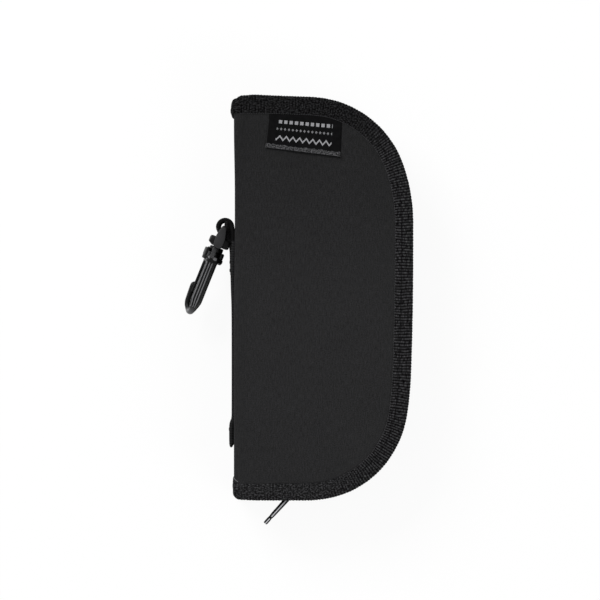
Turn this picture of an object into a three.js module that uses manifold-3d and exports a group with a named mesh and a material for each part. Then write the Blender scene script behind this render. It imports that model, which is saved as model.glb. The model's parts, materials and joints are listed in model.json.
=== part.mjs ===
// A soft zip-around glucose meter case, lying closed on its back cover.
// Millimetres. +X points from the spine to the rounded edge, +Y to the top edge, +Z up.
// The origin is the middle of the flat face of the back cover.

import * as THREE from 'three';
import { mergeVertices } from 'three/addons/utils/BufferGeometryUtils.js';
import Module from 'manifold-3d';

const wasm = await Module();
wasm.setup();

// Overall size of the closed case
const CASE_LENGTH = 200;
const CASE_WIDTH = 88;
const CASE_THICKNESS = 32;

// The D outline, walked clockwise from the spine end of the top edge
const TOP_CROWN_DEG = 4.5;
const TOP_CORNER_DEG = 65.5;
const TOP_CORNER_RADIUS = 49.4;
const SHOULDER_RADIUS = 86;
const SIDE_LEAN_DEG = 2.2;
const HIP_DEG = 7;
const HIP_RADIUS = 165;
const BOTTOM_CORNER_RADIUS = 49.6;

// Layers of each cover and of the spine
const FABRIC = 0.6;
const FOAM = 2.2;
const LINING = 0.6;
const LAYER_GAP = 0.1;
const RUNNING_GAP = 0.3;

// Grosgrain binding folded over the edges
const BINDING = 0.6;
const BINDING_WIDTH = 9;
const BINDING_INNER_WIDTH = 4.8;

// Zip: its tapes stand up as the gusset between the covers
const TAPE = 0.6;
const TAPE_INSET = 5.5;
const CHAIN_THICKNESS = 2;
const RAIL_HEIGHT = 1;
const TOOTH_HEIGHT = 1.5;
const TOOTH_PITCH = 3;
const ROW_GAP = 1.2;
const ZIP_START = 5;
const ZIP_END = 21;
const STOP_LENGTH = 2;
const STOP_PROUD = 0.3;

// Zip slider and its pull
const SLIDER_PAST_ARC = 1.6;
const SLIDER_LENGTH = 9.6;
const SLIDER_HEIGHT = 9.2;
const SLIDER_PLATE = 1.1;
const SLIDER_NOSE_RADIUS = 3;
const CHAIN_CLEARANCE = 0.9;
const WEDGE_LENGTH = 2.4;
const WEDGE_THICKNESS = 0.6;
const EAR_THICKNESS = 1;
const EAR_RADIUS = 1.1;
const EAR_FOOT_LENGTH = 3;
const EAR_START_DEG = 150;
const EAR_END_DEG = 300;
const PULL_PIN_RADIUS = 0.6;
const PULL_PIN_OVERHANG = 1.6;
const PULL_PIN_INSET = 1.8;
const PULL_LENGTH = 17.6;
const PULL_WIDTH = 6;
const PULL_THICK_END = 2.2;
const PULL_THIN_END = 1.3;
const PULL_HEAD_RADIUS = 1.5;
const PULL_REST_DEG = -43;

// Webbing strap on the spine and the small loop that carries the hook
const STRAP = 1.2;
const STRAP_WIDTH = 19;
const STRAP_TOP_DROP = 72;
const STRAP_BOTTOM_RISE = 26.4;
const STRAP_FOLD_LENGTH = 11;
const LOOP_WEBBING = 1.1;
const LOOP_WIDTH = 12.7;
const LOOP_OUTER_RADIUS = 4.45;
const LOOP_CENTRE_RISE = 7.2;
const LOOP_RETURN_DEG = 290;
const LOOP_TAIL_LENGTH = 17;
const BARTACK = 0.4;
const BARTACK_WIDTH = 1.6;
const BARTACK_MARGIN = 2.4;

// Swivel snap hook
const HOOK_LEAN_DEG = -22;
const BAR_RADIUS = 1.5;
const BAR_DROP = 1.3;
const BAR_SHIFT = 0.6;
const ARM_THICKNESS = 2.2;
const ARM_WIDTH = 4;
const ARM_CAP = 2.1;
const FLANGE_START = 6.3;
const FLANGE_THICKNESS = 3;
const FLANGE_WIDTH = 10;
const FLANGE_CORNER = 1;
const SWIVEL_GAP = 0.7;
const STEM_RADIUS = 2;
const STEM_HEAD_RADIUS = 3;
const STEM_HEAD_HEIGHT = 2.4;
const COLLAR_RADIUS = 5.5;
const COLLAR_RING_HEIGHT = 2.3;
const COLLAR_LEG = 1.7;
const BLOCK_HEIGHT = 3;
const HOOK_THICKNESS = 5.4;
const HOOK_TURN_DEG = -75;
const HOOK_REACH = 45.3;
const BEND_RADIUS = 5.7;
const BEND_OFFSET = 0.4;
const SHANK_THICKNESS = 2.4;
const NOSE_THICKNESS = 3.1;
const NOSE_LENGTH = 8.6;
const GATE_THICKNESS = 1.4;
const GATE_ROOT = 2.2;
const GATE_WIDTH = 4;
const GATE_LAP = 4;
const GATE_PIVOT_DROP = 1;

// Inside: elastic loops on the back lining and a mesh pocket on the front lining
const ELASTIC = 1;
const ELASTIC_FOOT = 3;
const BAND_HEIGHT = 13;
const BAND_CENTRE_Y = 8;
const BAND_SPINE_MARGIN = 1.3;
const METER_BAND_WIDTH = 30;
const LANCET_SPAN = 14;
const LANCET_WIDTH = 20;
const LANCET_EDGE_MARGIN = 9;
const VIAL_SPAN = 26;
const VIAL_WIDTH = 20;
const VIAL_SPINE_MARGIN = 8.3;
const VIAL_BOTTOM_RISE = 50;
const POCKET_INSET = 12;
const POCKET_TOP_DROP = 55;
const POCKET_DEPTH = 1.6;
const POCKET_WALL = 0.6;
const POCKET_SEAM = 3;
const POCKET_EDGE_WIDTH = 4;
const POCKET_EDGE_THICKNESS = 1;

// Woven label, its upper end under the top binding
const LABEL = 0.4;
const LABEL_WIDTH = 36;
const LABEL_LENGTH = 17;
const LABEL_TILT_DEG = -4.8;
const LABEL_SPINE_MARGIN = 15.5;
const LABEL_DROP = 26;

// Smoothness of curved shapes
const SAG = 0.1;
const ROUND_STEPS = 20;
const CORNER_STEPS = 4;
const OVERRUN = 0.5;
const MERGE_DISTANCE = 0.001;

// Places that follow from the sizes above
const COVER = FABRIC + FOAM + LINING;
const RIGHT_X = CASE_WIDTH / 2;
const SPINE_X = -CASE_WIDTH / 2;
const TOP_Y = CASE_LENGTH / 2;
const MID_Z = CASE_THICKNESS / 2;
const STRAP_TOP_Y = TOP_Y - STRAP_TOP_DROP;
const STRAP_BOTTOM_Y = -TOP_Y + STRAP_BOTTOM_RISE;
const LOOP_CENTRE_Y = STRAP_TOP_Y + LOOP_CENTRE_RISE;
const LOOP_TAIL_BOTTOM_Y = STRAP_TOP_Y - LOOP_TAIL_LENGTH;
const FOLD_X = SPINE_X + COVER / 2;
const FOLD_Z = COVER / 2;
const COVER_X = SPINE_X + COVER + RUNNING_GAP;
const TAPE_TOP_Z = MID_Z - ROW_GAP / 2 - TOOTH_HEIGHT - RAIL_HEIGHT;
const CHAIN_INSET = TAPE_INSET + TAPE / 2 - CHAIN_THICKNESS / 2;

function material(color, roughness, metalness = 0) {
  return new THREE.MeshStandardMaterial({ color, roughness, metalness });
}

const nylon = material(0x29292b, 0.85);
const foamBoard = material(0x55565a, 0.95);
const liningCloth = material(0x1d1d20, 0.9);
const grosgrain = material(0x222224, 0.8);
const webbing = material(0x1c1c1e, 0.85);
const satin = material(0x111113, 0.45);
const zipTape = material(0x1a1a1c, 0.9);
const zipTeeth = material(0x18181a, 0.5);
const blackMetal = material(0x3a3a3c, 0.35, 0.9);
const hookPlastic = material(0x1b1b1d, 0.35);
const elasticBand = material(0x202022, 0.9);
const meshNet = material(0x242427, 0.95);

const meterCase = new THREE.Group();

function addPiece(parent, name, geometry, finish) {
  const mesh = new THREE.Mesh(geometry, finish);
  mesh.name = name;
  parent.add(mesh);
  return mesh;
}

// Solids are joined and cut as manifolds and handed back as buffer geometry

function toSolid(geometry) {
  const bare = geometry.index ? geometry.toNonIndexed() : geometry.clone();
  bare.deleteAttribute('normal');
  bare.deleteAttribute('uv');
  const merged = mergeVertices(bare, MERGE_DISTANCE);
  return new wasm.Manifold(new wasm.Mesh({
    numProp: 3,
    vertProperties: new Float32Array(merged.attributes.position.array),
    triVerts: new Uint32Array(merged.index.array),
  }));
}

function toGeometry(solid) {
  const mesh = solid.getMesh();
  const geometry = new THREE.BufferGeometry();
  geometry.setAttribute('position', new THREE.BufferAttribute(mesh.vertProperties, mesh.numProp));
  geometry.setIndex(new THREE.BufferAttribute(mesh.triVerts, 1));
  return geometry;
}

function join(...geometries) {
  return toGeometry(geometries.map(toSolid).reduce((whole, next) => whole.add(next)));
}

function cut(geometry, ...tools) {
  return toGeometry(tools.map(toSolid).reduce((whole, tool) => whole.subtract(tool), toSolid(geometry)));
}

function common(geometry, other) {
  return toGeometry(toSolid(geometry).intersect(toSolid(other)));
}

// A box between two corners
function block(low, high) {
  const size = high.map((value, axis) => value - low[axis]);
  const geometry = new THREE.BoxGeometry(...size);
  geometry.translate(...high.map((value, axis) => (value + low[axis]) / 2));
  return geometry;
}

// A flat outline in X and Y raised from lowZ to highZ
function raise(points, lowZ, highZ, holes = []) {
  const shape = new THREE.Shape(points);
  shape.holes = holes.map((hole) => new THREE.Path(hole));
  const geometry = new THREE.ExtrudeGeometry(shape, { depth: highZ - lowZ, bevelEnabled: false });
  geometry.translate(0, 0, lowZ);
  return geometry;
}

// An outline in X and Z carried along Y from lowY to highY
function carry(points, lowY, highY) {
  const flat = points.map((corner) => point(corner.x, -corner.y));
  const geometry = raise(flat, lowY, highY);
  geometry.rotateX(-Math.PI / 2);
  return geometry;
}

function point(x, y) {
  return new THREE.Vector2(x, y);
}

function arcPoints(centre, radius, startDeg, endDeg, steps = ROUND_STEPS) {
  const start = THREE.MathUtils.degToRad(startDeg);
  const sweep = THREE.MathUtils.degToRad(endDeg) - start;
  return Array.from({ length: steps + 1 }, (_, step) => {
    const angle = start + (sweep * step) / steps;
    return point(centre.x + radius * Math.cos(angle), centre.y + radius * Math.sin(angle));
  });
}

function circle(centre, radius) {
  return arcPoints(centre, radius, 0, 360).slice(1);
}

// A rod along Z
function rodZ(x, y, radius, lowZ, highZ) {
  const geometry = new THREE.CylinderGeometry(radius, radius, highZ - lowZ, ROUND_STEPS);
  geometry.rotateX(Math.PI / 2);
  geometry.translate(x, y, (lowZ + highZ) / 2);
  return geometry;
}

// A rod along Y
function rodY(x, z, radius, lowY, highY) {
  const geometry = new THREE.CylinderGeometry(radius, radius, highY - lowY, ROUND_STEPS);
  geometry.translate(x, (lowY + highY) / 2, z);
  return geometry;
}

// The outline as arcs: each holds its centre, its radius and the angles of its outward normal

function edgeArcs() {
  const toRad = THREE.MathUtils.degToRad;
  const crown = toRad(TOP_CROWN_DEG);
  const corner = toRad(TOP_CROWN_DEG + TOP_CORNER_DEG);
  const lean = toRad(SIDE_LEAN_DEG);
  const hip = toRad(SIDE_LEAN_DEG + HIP_DEG);
  const quarter = Math.PI / 2;
  const cornerReach = TOP_CORNER_RADIUS * (Math.sin(corner) - Math.sin(crown))
    + SHOULDER_RADIUS * (1 - Math.sin(corner));
  const crownRadius = (RIGHT_X - cornerReach - COVER_X) / Math.sin(crown);
  const topDrop = crownRadius * (1 - Math.cos(crown))
    + TOP_CORNER_RADIUS * (Math.cos(crown) - Math.cos(corner))
    + SHOULDER_RADIUS * Math.cos(corner);
  const bottomRise = HIP_RADIUS * (Math.sin(hip) - Math.sin(lean))
    + BOTTOM_CORNER_RADIUS * (1 - Math.sin(hip));
  const sideRadius = (CASE_LENGTH - topDrop - bottomRise) / Math.sin(lean);
  const turns = [
    { radius: crownRadius, from: quarter, to: quarter - crown },
    { radius: TOP_CORNER_RADIUS, from: quarter - crown, to: quarter - corner },
    { radius: SHOULDER_RADIUS, from: quarter - corner, to: 0 },
    { radius: sideRadius, from: 0, to: -lean },
    { radius: HIP_RADIUS, from: -lean, to: -hip },
    { radius: BOTTOM_CORNER_RADIUS, from: -hip, to: -quarter },
  ];
  let x = COVER_X;
  let y = TOP_Y;
  return turns.map((turn) => {
    const centre = point(x - turn.radius * Math.cos(turn.from), y - turn.radius * Math.sin(turn.from));
    x = centre.x + turn.radius * Math.cos(turn.to);
    y = centre.y + turn.radius * Math.sin(turn.to);
    return { ...turn, centre };
  });
}

const ARCS = edgeArcs();
const BOTTOM_ARC = ARCS[ARCS.length - 1];

// A station holds a point of the outline and its outward normal
function arcStation(arc, angle) {
  const normal = point(Math.cos(angle), Math.sin(angle));
  return { at: arc.centre.clone().addScaledVector(normal, arc.radius), normal };
}

function bottomStation(x) {
  return { at: point(x, -TOP_Y), normal: point(0, -1) };
}

function inward(station, inset) {
  return station.at.clone().addScaledVector(station.normal, -inset);
}

// Stations close enough together that no chord sags more than SAG
function edgeStations() {
  const stations = [arcStation(ARCS[0], ARCS[0].from)];
  for (const arc of ARCS) {
    const sweep = arc.from - arc.to;
    const steps = Math.ceil(sweep / (2 * Math.acos(1 - SAG / arc.radius)));
    for (let step = 1; step <= steps; step += 1) {
      stations.push(arcStation(arc, arc.from - (sweep * step) / steps));
    }
  }
  stations.push(bottomStation(COVER_X));
  return stations;
}

const EDGE = edgeStations();

// The station that lies a given length along the outline, measured at an inset from it
function stationAlong(length, inset) {
  let left = length;
  for (const arc of ARCS) {
    const run = (arc.radius - inset) * (arc.from - arc.to);
    if (left <= run) {
      return arcStation(arc, arc.from - left / (arc.radius - inset));
    }
    left -= run;
  }
  return bottomStation(BOTTOM_ARC.centre.x - left);
}

function lengthAtInset(inset) {
  const arcs = ARCS.reduce((sum, arc) => sum + (arc.radius - inset) * (arc.from - arc.to), 0);
  return arcs + BOTTOM_ARC.centre.x - COVER_X;
}

// A D plate, its edge an inset inside the outline
function plate(inset, lowZ, highZ) {
  return raise(EDGE.map((station) => inward(station, inset)), lowZ, highZ);
}

// A strip round the outline: sectionAt gives its [inset, z] points at each station
function strip(stations, sectionAt) {
  const clockwise = THREE.ShapeUtils.area(sectionAt(0).map(([inset, z]) => point(inset, z))) < 0;
  const section = (index) => (clockwise ? sectionAt(index).reverse() : sectionAt(index));
  const rings = stations.map((station, index) => section(index).map(([inset, z]) => {
    const flat = inward(station, inset);
    return new THREE.Vector3(flat.x, flat.y, z);
  }));
  const sides = rings[0].length;
  const corners = [];
  for (let ring = 0; ring + 1 < rings.length; ring += 1) {
    for (let side = 0; side < sides; side += 1) {
      const next = (side + 1) % sides;
      const here = rings[ring];
      const ahead = rings[ring + 1];
      corners.push(here[side], ahead[next], here[next], here[side], ahead[side], ahead[next]);
    }
  }
  const outline = section(0).map(([inset, z]) => point(inset, z));
  const last = rings[rings.length - 1];
  for (const [a, b, c] of THREE.ShapeUtils.triangulateShape(outline, [])) {
    corners.push(rings[0][a], rings[0][b], rings[0][c]);
    corners.push(last[a], last[c], last[b]);
  }
  return new THREE.BufferGeometry().setFromPoints(corners);
}

// The front half is the back half seen in the mirror of the middle plane
const BACK = (z) => z;
const FRONT = (z) => CASE_THICKNESS - z;

function layer(side, inset, nearZ, farZ) {
  const [lowZ, highZ] = [side(nearZ), side(farZ)].sort((a, b) => a - b);
  return plate(inset, lowZ, highZ);
}

function bindingSection(side) {
  const innerZ = COVER + TAPE + LAYER_GAP;
  return [
    [0, side(0)],
    [BINDING_WIDTH, side(0)],
    [BINDING_WIDTH, side(BINDING)],
    [BINDING, side(BINDING)],
    [BINDING, side(innerZ)],
    [BINDING_INNER_WIDTH, side(innerZ)],
    [BINDING_INNER_WIDTH, side(innerZ + BINDING)],
    [0, side(innerZ + BINDING)],
  ];
}

function tapeSection(side) {
  const inset = BINDING + LAYER_GAP;
  return [
    [inset, side(COVER)],
    [TAPE_INSET + TAPE, side(COVER)],
    [TAPE_INSET + TAPE, side(TAPE_TOP_Z)],
    [TAPE_INSET, side(TAPE_TOP_Z)],
    [TAPE_INSET, side(COVER + TAPE)],
    [inset, side(COVER + TAPE)],
  ];
}

// The teeth rise and fall along the row; the two rows are half a pitch apart
function teethRow(side, phase) {
  const centreInset = CHAIN_INSET + CHAIN_THICKNESS / 2;
  const run = lengthAtInset(centreInset) - ZIP_START - ZIP_END;
  const count = 2 * Math.floor(run / TOOTH_PITCH);
  const stations = Array.from({ length: count + 1 }, (_, step) => (
    stationAlong(ZIP_START + (step * TOOTH_PITCH) / 2, centreInset)
  ));
  return strip(stations, (index) => {
    const raised = (index + phase) % 2 === 0 ? TOOTH_HEIGHT : 0;
    return [
      [CHAIN_INSET, side(TAPE_TOP_Z)],
      [CHAIN_INSET + CHAIN_THICKNESS, side(TAPE_TOP_Z)],
      [CHAIN_INSET + CHAIN_THICKNESS, side(TAPE_TOP_Z + RAIL_HEIGHT + raised)],
      [CHAIN_INSET, side(TAPE_TOP_Z + RAIL_HEIGHT + raised)],
    ];
  });
}

// A stop closes each end of the zip, in the gap between the two tape edges
function zipStop(fromLength) {
  const centreInset = CHAIN_INSET + CHAIN_THICKNESS / 2;
  const stations = [fromLength, fromLength + STOP_LENGTH].map((length) => stationAlong(length, centreInset));
  const lowZ = TAPE_TOP_Z + LAYER_GAP;
  return strip(stations, () => [
    [CHAIN_INSET - STOP_PROUD, lowZ],
    [CHAIN_INSET + CHAIN_THICKNESS + STOP_PROUD, lowZ],
    [CHAIN_INSET + CHAIN_THICKNESS + STOP_PROUD, CASE_THICKNESS - lowZ],
    [CHAIN_INSET - STOP_PROUD, CASE_THICKNESS - lowZ],
  ]);
}

function addCover(side, name, phase) {
  const core = BINDING + LAYER_GAP;
  addPiece(meterCase, `${name}_cover_fabric`, layer(side, BINDING_WIDTH + LAYER_GAP, 0, FABRIC), nylon);
  addPiece(meterCase, `${name}_cover_foam`, layer(side, core, FABRIC, FABRIC + FOAM), foamBoard);
  addPiece(meterCase, `${name}_cover_lining`, layer(side, core, FABRIC + FOAM, COVER), liningCloth);
  addPiece(meterCase, `${name}_binding`, strip(EDGE, () => bindingSection(side)), grosgrain);
  addPiece(meterCase, `${name}_zip_tape`, strip(EDGE, () => tapeSection(side)), zipTape);
  addPiece(meterCase, `${name}_zip_teeth`, teethRow(side, phase), zipTeeth);
}

function addZipStops() {
  const centreInset = CHAIN_INSET + CHAIN_THICKNESS / 2;
  const endLength = lengthAtInset(centreInset) - ZIP_END;
  addPiece(meterCase, 'zip_stop_top', zipStop(ZIP_START - STOP_LENGTH - LAYER_GAP), blackMetal);
  addPiece(meterCase, 'zip_stop_bottom', zipStop(endLength + LAYER_GAP), blackMetal);
}

// The spine folds about an axis at each long edge, so those edges are round about it
function addSpine() {
  const farZ = CASE_THICKNESS - FOLD_Z;
  const endY = TOP_Y - BINDING - LAYER_GAP;
  const outerX = SPINE_X + FABRIC;
  const innerX = SPINE_X + FABRIC + FOAM;
  const core = [
    point(outerX, FOLD_Z),
    ...arcPoints(point(FOLD_X, FOLD_Z), COVER / 2, 180, 360, ROUND_STEPS / 2),
    point(innerX, FOLD_Z),
    point(innerX, farZ),
    ...arcPoints(point(FOLD_X, farZ), COVER / 2, 0, 180, ROUND_STEPS / 2),
    point(outerX, farZ),
  ];
  const fabric = block([SPINE_X, -endY, FOLD_Z + LAYER_GAP], [outerX, endY, farZ - LAYER_GAP]);
  const lining = block([innerX, -endY, FOLD_Z + LAYER_GAP], [SPINE_X + COVER, endY, farZ - LAYER_GAP]);
  addPiece(meterCase, 'spine_foam', carry(core, -endY, endY), foamBoard);
  addPiece(meterCase, 'spine_fabric', fabric, nylon);
  addPiece(meterCase, 'spine_lining', lining, liningCloth);
  addPiece(meterCase, 'spine_binding_top', spineBinding(1), grosgrain);
  addPiece(meterCase, 'spine_binding_bottom', spineBinding(-1), grosgrain);
}

// Binding tape folded over one end of the spine; it clears the covers' bindings inside
function spineBinding(end) {
  const lowZ = FOLD_Z + RUNNING_GAP;
  const innerLowZ = COVER + TAPE + LAYER_GAP + BINDING + RUNNING_GAP;
  const ys = (near, far) => [end * (TOP_Y - near), end * (TOP_Y - far)].sort((a, b) => a - b);
  const box = (xLow, xHigh, near, far, zLow) => {
    const [yLow, yHigh] = ys(near, far);
    return block([xLow, yLow, zLow], [xHigh, yHigh, CASE_THICKNESS - zLow]);
  };
  const outer = box(SPINE_X - BINDING, SPINE_X, 0, BINDING_WIDTH, lowZ);
  const over = box(SPINE_X - BINDING, SPINE_X + COVER, 0, BINDING, lowZ);
  const innerEnd = box(SPINE_X, SPINE_X + COVER + BINDING, 0, BINDING, innerLowZ);
  const inner = box(SPINE_X + COVER, SPINE_X + COVER + BINDING, 0, BINDING_INNER_WIDTH, innerLowZ);
  return join(outer, over, innerEnd, inner);
}

// The strap lies on the spine; its lower end is folded under, so it is two layers there
function addStrap() {
  const outline = [
    point(SPINE_X, STRAP_BOTTOM_Y),
    point(SPINE_X, STRAP_TOP_Y),
    point(SPINE_X - STRAP, STRAP_TOP_Y),
    point(SPINE_X - STRAP, STRAP_BOTTOM_Y + STRAP_FOLD_LENGTH),
    point(SPINE_X - 2 * STRAP, STRAP_BOTTOM_Y + STRAP_FOLD_LENGTH),
    point(SPINE_X - 2 * STRAP, STRAP_BOTTOM_Y),
  ];
  const strap = raise(outline, MID_Z - STRAP_WIDTH / 2, MID_Z + STRAP_WIDTH / 2);
  addPiece(meterCase, 'spine_strap', strap, webbing);
}

const LOOP_X = SPINE_X - LOOP_OUTER_RADIUS;

// The loop's webbing climbs the spine, curls over and comes back down over the strap
function addLoop() {
  const centre = point(LOOP_X, LOOP_CENTRE_Y);
  const tailX = SPINE_X - STRAP - LOOP_WEBBING;
  const footY = STRAP_TOP_Y + RUNNING_GAP;
  const outline = [
    point(SPINE_X, footY),
    ...arcPoints(centre, LOOP_OUTER_RADIUS, 0, LOOP_RETURN_DEG),
    point(tailX, footY),
    point(tailX, LOOP_TAIL_BOTTOM_Y),
    point(SPINE_X - STRAP, LOOP_TAIL_BOTTOM_Y),
    point(SPINE_X - STRAP, footY),
  ];
  const hole = circle(centre, LOOP_OUTER_RADIUS - LOOP_WEBBING);
  const loop = raise(outline, MID_Z - LOOP_WIDTH / 2, MID_Z + LOOP_WIDTH / 2, [hole]);
  addPiece(meterCase, 'hook_loop', loop, webbing);
}

function bartack(faceX, y, width) {
  const half = (width - BARTACK_MARGIN) / 2;
  return block(
    [faceX - BARTACK, y - BARTACK_WIDTH / 2, MID_Z - half],
    [faceX, y + BARTACK_WIDTH / 2, MID_Z + half],
  );
}

function addBartacks() {
  const tailX = SPINE_X - STRAP - LOOP_WEBBING;
  const foldX = SPINE_X - 2 * STRAP;
  const lowTackY = LOOP_TAIL_BOTTOM_Y + BARTACK_MARGIN;
  const highTackY = lowTackY + BARTACK_WIDTH + BARTACK_MARGIN;
  const foldTackY = STRAP_BOTTOM_Y + STRAP_FOLD_LENGTH - BARTACK_MARGIN;
  addPiece(meterCase, 'bartack_loop_upper', bartack(tailX, highTackY, LOOP_WIDTH), webbing);
  addPiece(meterCase, 'bartack_loop_lower', bartack(tailX, lowTackY, LOOP_WIDTH), webbing);
  addPiece(meterCase, 'bartack_strap_end', bartack(foldX, foldTackY, STRAP_WIDTH), webbing);
}

// The hook hangs along its own -Y from the bar that runs through the webbing loop

const HOOK_BAR = point(LOOP_X - BAR_SHIFT, LOOP_CENTRE_Y - BAR_DROP);
const FLANGE_END = FLANGE_START + FLANGE_THICKNESS;
const COLLAR_START = FLANGE_END + SWIVEL_GAP;
const CAVITY_START = COLLAR_START + COLLAR_RING_HEIGHT;
const CAVITY_END = CAVITY_START + STEM_HEAD_HEIGHT + 2 * RUNNING_GAP;
const BLOCK_END = CAVITY_END + BLOCK_HEIGHT;

function hangingGroup() {
  const group = new THREE.Group();
  group.position.set(HOOK_BAR.x, HOOK_BAR.y, MID_Z);
  group.rotation.z = THREE.MathUtils.degToRad(HOOK_LEAN_DEG);
  meterCase.add(group);
  return group;
}

function roundedRectangle(halfWidth, halfHeight, radius) {
  const x = halfWidth - radius;
  const y = halfHeight - radius;
  return [
    ...arcPoints(point(x, y), radius, 0, 90, CORNER_STEPS),
    ...arcPoints(point(-x, y), radius, 90, 180, CORNER_STEPS),
    ...arcPoints(point(-x, -y), radius, 180, 270, CORNER_STEPS),
    ...arcPoints(point(x, -y), radius, 270, 360, CORNER_STEPS),
  ];
}

function addHookEye() {
  const inner = LOOP_WIDTH / 2 + RUNNING_GAP;
  const outer = inner + ARM_THICKNESS;
  const bar = rodZ(0, 0, BAR_RADIUS, -outer + OVERRUN, outer - OVERRUN);
  const armOutline = [
    ...arcPoints(point(0, 0), ARM_CAP, 0, 180, ROUND_STEPS / 2),
    point(-ARM_WIDTH / 2, -FLANGE_START - OVERRUN),
    point(ARM_WIDTH / 2, -FLANGE_START - OVERRUN),
  ];
  const upperArm = raise(armOutline, inner, outer);
  const lowerArm = raise(armOutline, -outer, -inner);
  const flange = raise(roundedRectangle(FLANGE_WIDTH / 2, outer, FLANGE_CORNER), FLANGE_START, FLANGE_END);
  flange.rotateX(Math.PI / 2);
  const headStart = CAVITY_START + RUNNING_GAP;
  const headEnd = headStart + STEM_HEAD_HEIGHT;
  const stem = rodY(0, 0, STEM_RADIUS, -headStart - OVERRUN, -FLANGE_END + OVERRUN);
  const head = rodY(0, 0, STEM_HEAD_RADIUS, -headEnd, -headStart);
  addPiece(hangingGroup(), 'hook_eye', join(bar, upperArm, lowerArm, flange, stem, head), hookPlastic);
}

// The hook's own plane: X towards its mouth, -Y towards its bend, Z through its thickness

const BEND_CENTRE = point(BEND_OFFSET, -(HOOK_REACH - BEND_RADIUS));
const SHANK_OUTER_X = BEND_CENTRE.x - BEND_RADIUS;
const SHANK_INNER_X = SHANK_OUTER_X + SHANK_THICKNESS;
const NOSE_OUTER_X = BEND_CENTRE.x + BEND_RADIUS;
const NOSE_INNER_X = NOSE_OUTER_X - NOSE_THICKNESS;
const NOSE_TIP_Y = BEND_CENTRE.y + NOSE_LENGTH;

function turnedGroup() {
  const turn = new THREE.Group();
  turn.rotation.y = THREE.MathUtils.degToRad(180 + HOOK_TURN_DEG);
  hangingGroup().add(turn);
  return turn;
}

function hookShape() {
  const innerRadius = (NOSE_INNER_X - SHANK_INNER_X) / 2;
  const innerCentre = point((NOSE_INNER_X + SHANK_INNER_X) / 2, BEND_CENTRE.y);
  const noseRadius = NOSE_THICKNESS / 2;
  const noseCentre = point(NOSE_OUTER_X - noseRadius, NOSE_TIP_Y - noseRadius);
  const shoulder = COLLAR_RADIUS - COLLAR_LEG;
  return [
    point(shoulder, -CAVITY_END),
    point(-shoulder, -CAVITY_END),
    ...arcPoints(BEND_CENTRE, BEND_RADIUS, 180, 360),
    ...arcPoints(noseCentre, noseRadius, 0, 180, ROUND_STEPS / 2),
    ...arcPoints(innerCentre, innerRadius, 360, 180, ROUND_STEPS / 2),
    point(SHANK_INNER_X, -BLOCK_END),
    point(shoulder, -BLOCK_END),
  ];
}

function addHookBody() {
  const half = HOOK_THICKNESS / 2;
  const ring = rodY(0, 0, COLLAR_RADIUS, -CAVITY_END - OVERRUN, -COLLAR_START);
  const bore = rodY(0, 0, STEM_RADIUS + RUNNING_GAP, -CAVITY_START - OVERRUN, -COLLAR_START + OVERRUN);
  const window = block(
    [-COLLAR_RADIUS + COLLAR_LEG, -CAVITY_END, -COLLAR_RADIUS - OVERRUN],
    [COLLAR_RADIUS - COLLAR_LEG, -CAVITY_START, COLLAR_RADIUS + OVERRUN],
  );
  const collar = cut(ring, bore, window);
  const hook = raise(hookShape(), -half, half);
  const body = join(collar, hook, block(
    [-COLLAR_RADIUS + COLLAR_LEG - OVERRUN, -CAVITY_END - OVERRUN, -half],
    [COLLAR_RADIUS - COLLAR_LEG + OVERRUN, -CAVITY_END, half],
  ));
  addPiece(turnedGroup(), 'hook_body', body, hookPlastic);
}

// The sprung tongue runs from below the collar down behind the nose
function addHookGate() {
  const outerX = NOSE_INNER_X - RUNNING_GAP;
  const rootX = outerX + GATE_ROOT / 2;
  const topY = -BLOCK_END - RUNNING_GAP - OVERRUN / 2;
  const endY = NOSE_TIP_Y - GATE_LAP;
  const outline = [
    point(rootX, topY),
    point(rootX - GATE_ROOT / 2, topY),
    point(rootX - GATE_ROOT, topY - GATE_PIVOT_DROP),
    point(outerX - GATE_THICKNESS, endY + GATE_THICKNESS),
    point(outerX - GATE_THICKNESS / 2, endY),
    point(outerX, endY),
    point(outerX, NOSE_TIP_Y),
    point(rootX, topY - GATE_ROOT),
  ];
  addPiece(turnedGroup(), 'hook_gate', raise(outline, -GATE_WIDTH / 2, GATE_WIDTH / 2), hookPlastic);
}

// The slider rides the arc of the bottom corner; it is built at the arc's lowest point and
// turned about the arc's centre to its place, with X along the chain and Y outward

function sliderGroup() {
  const radius = BOTTOM_ARC.radius - CHAIN_INSET;
  const group = new THREE.Group();
  group.position.set(BOTTOM_ARC.centre.x, BOTTOM_ARC.centre.y, MID_Z);
  group.rotation.z = -Math.asin(SLIDER_PAST_ARC / radius);
  meterCase.add(group);
  return group;
}

function outward(inset) {
  return -(BOTTOM_ARC.radius - inset);
}

const SLIDER_HALF = SLIDER_LENGTH / 2;
const OUTER_PLATE_INSET = CHAIN_INSET - CHAIN_CLEARANCE;
const INNER_PLATE_INSET = CHAIN_INSET + CHAIN_THICKNESS + CHAIN_CLEARANCE;
const PULL_PIN = point(-SLIDER_HALF - PULL_PIN_OVERHANG, outward(PULL_PIN_INSET));

function sliderPlate(nearInset, farInset) {
  const outline = roundedRectangle(SLIDER_HALF, SLIDER_HEIGHT / 2, SLIDER_NOSE_RADIUS);
  const geometry = raise(outline, 0, Math.abs(farInset - nearInset));
  geometry.rotateX(Math.PI / 2);
  geometry.translate(0, outward(Math.max(nearInset, farInset)), 0);
  return geometry;
}

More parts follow.
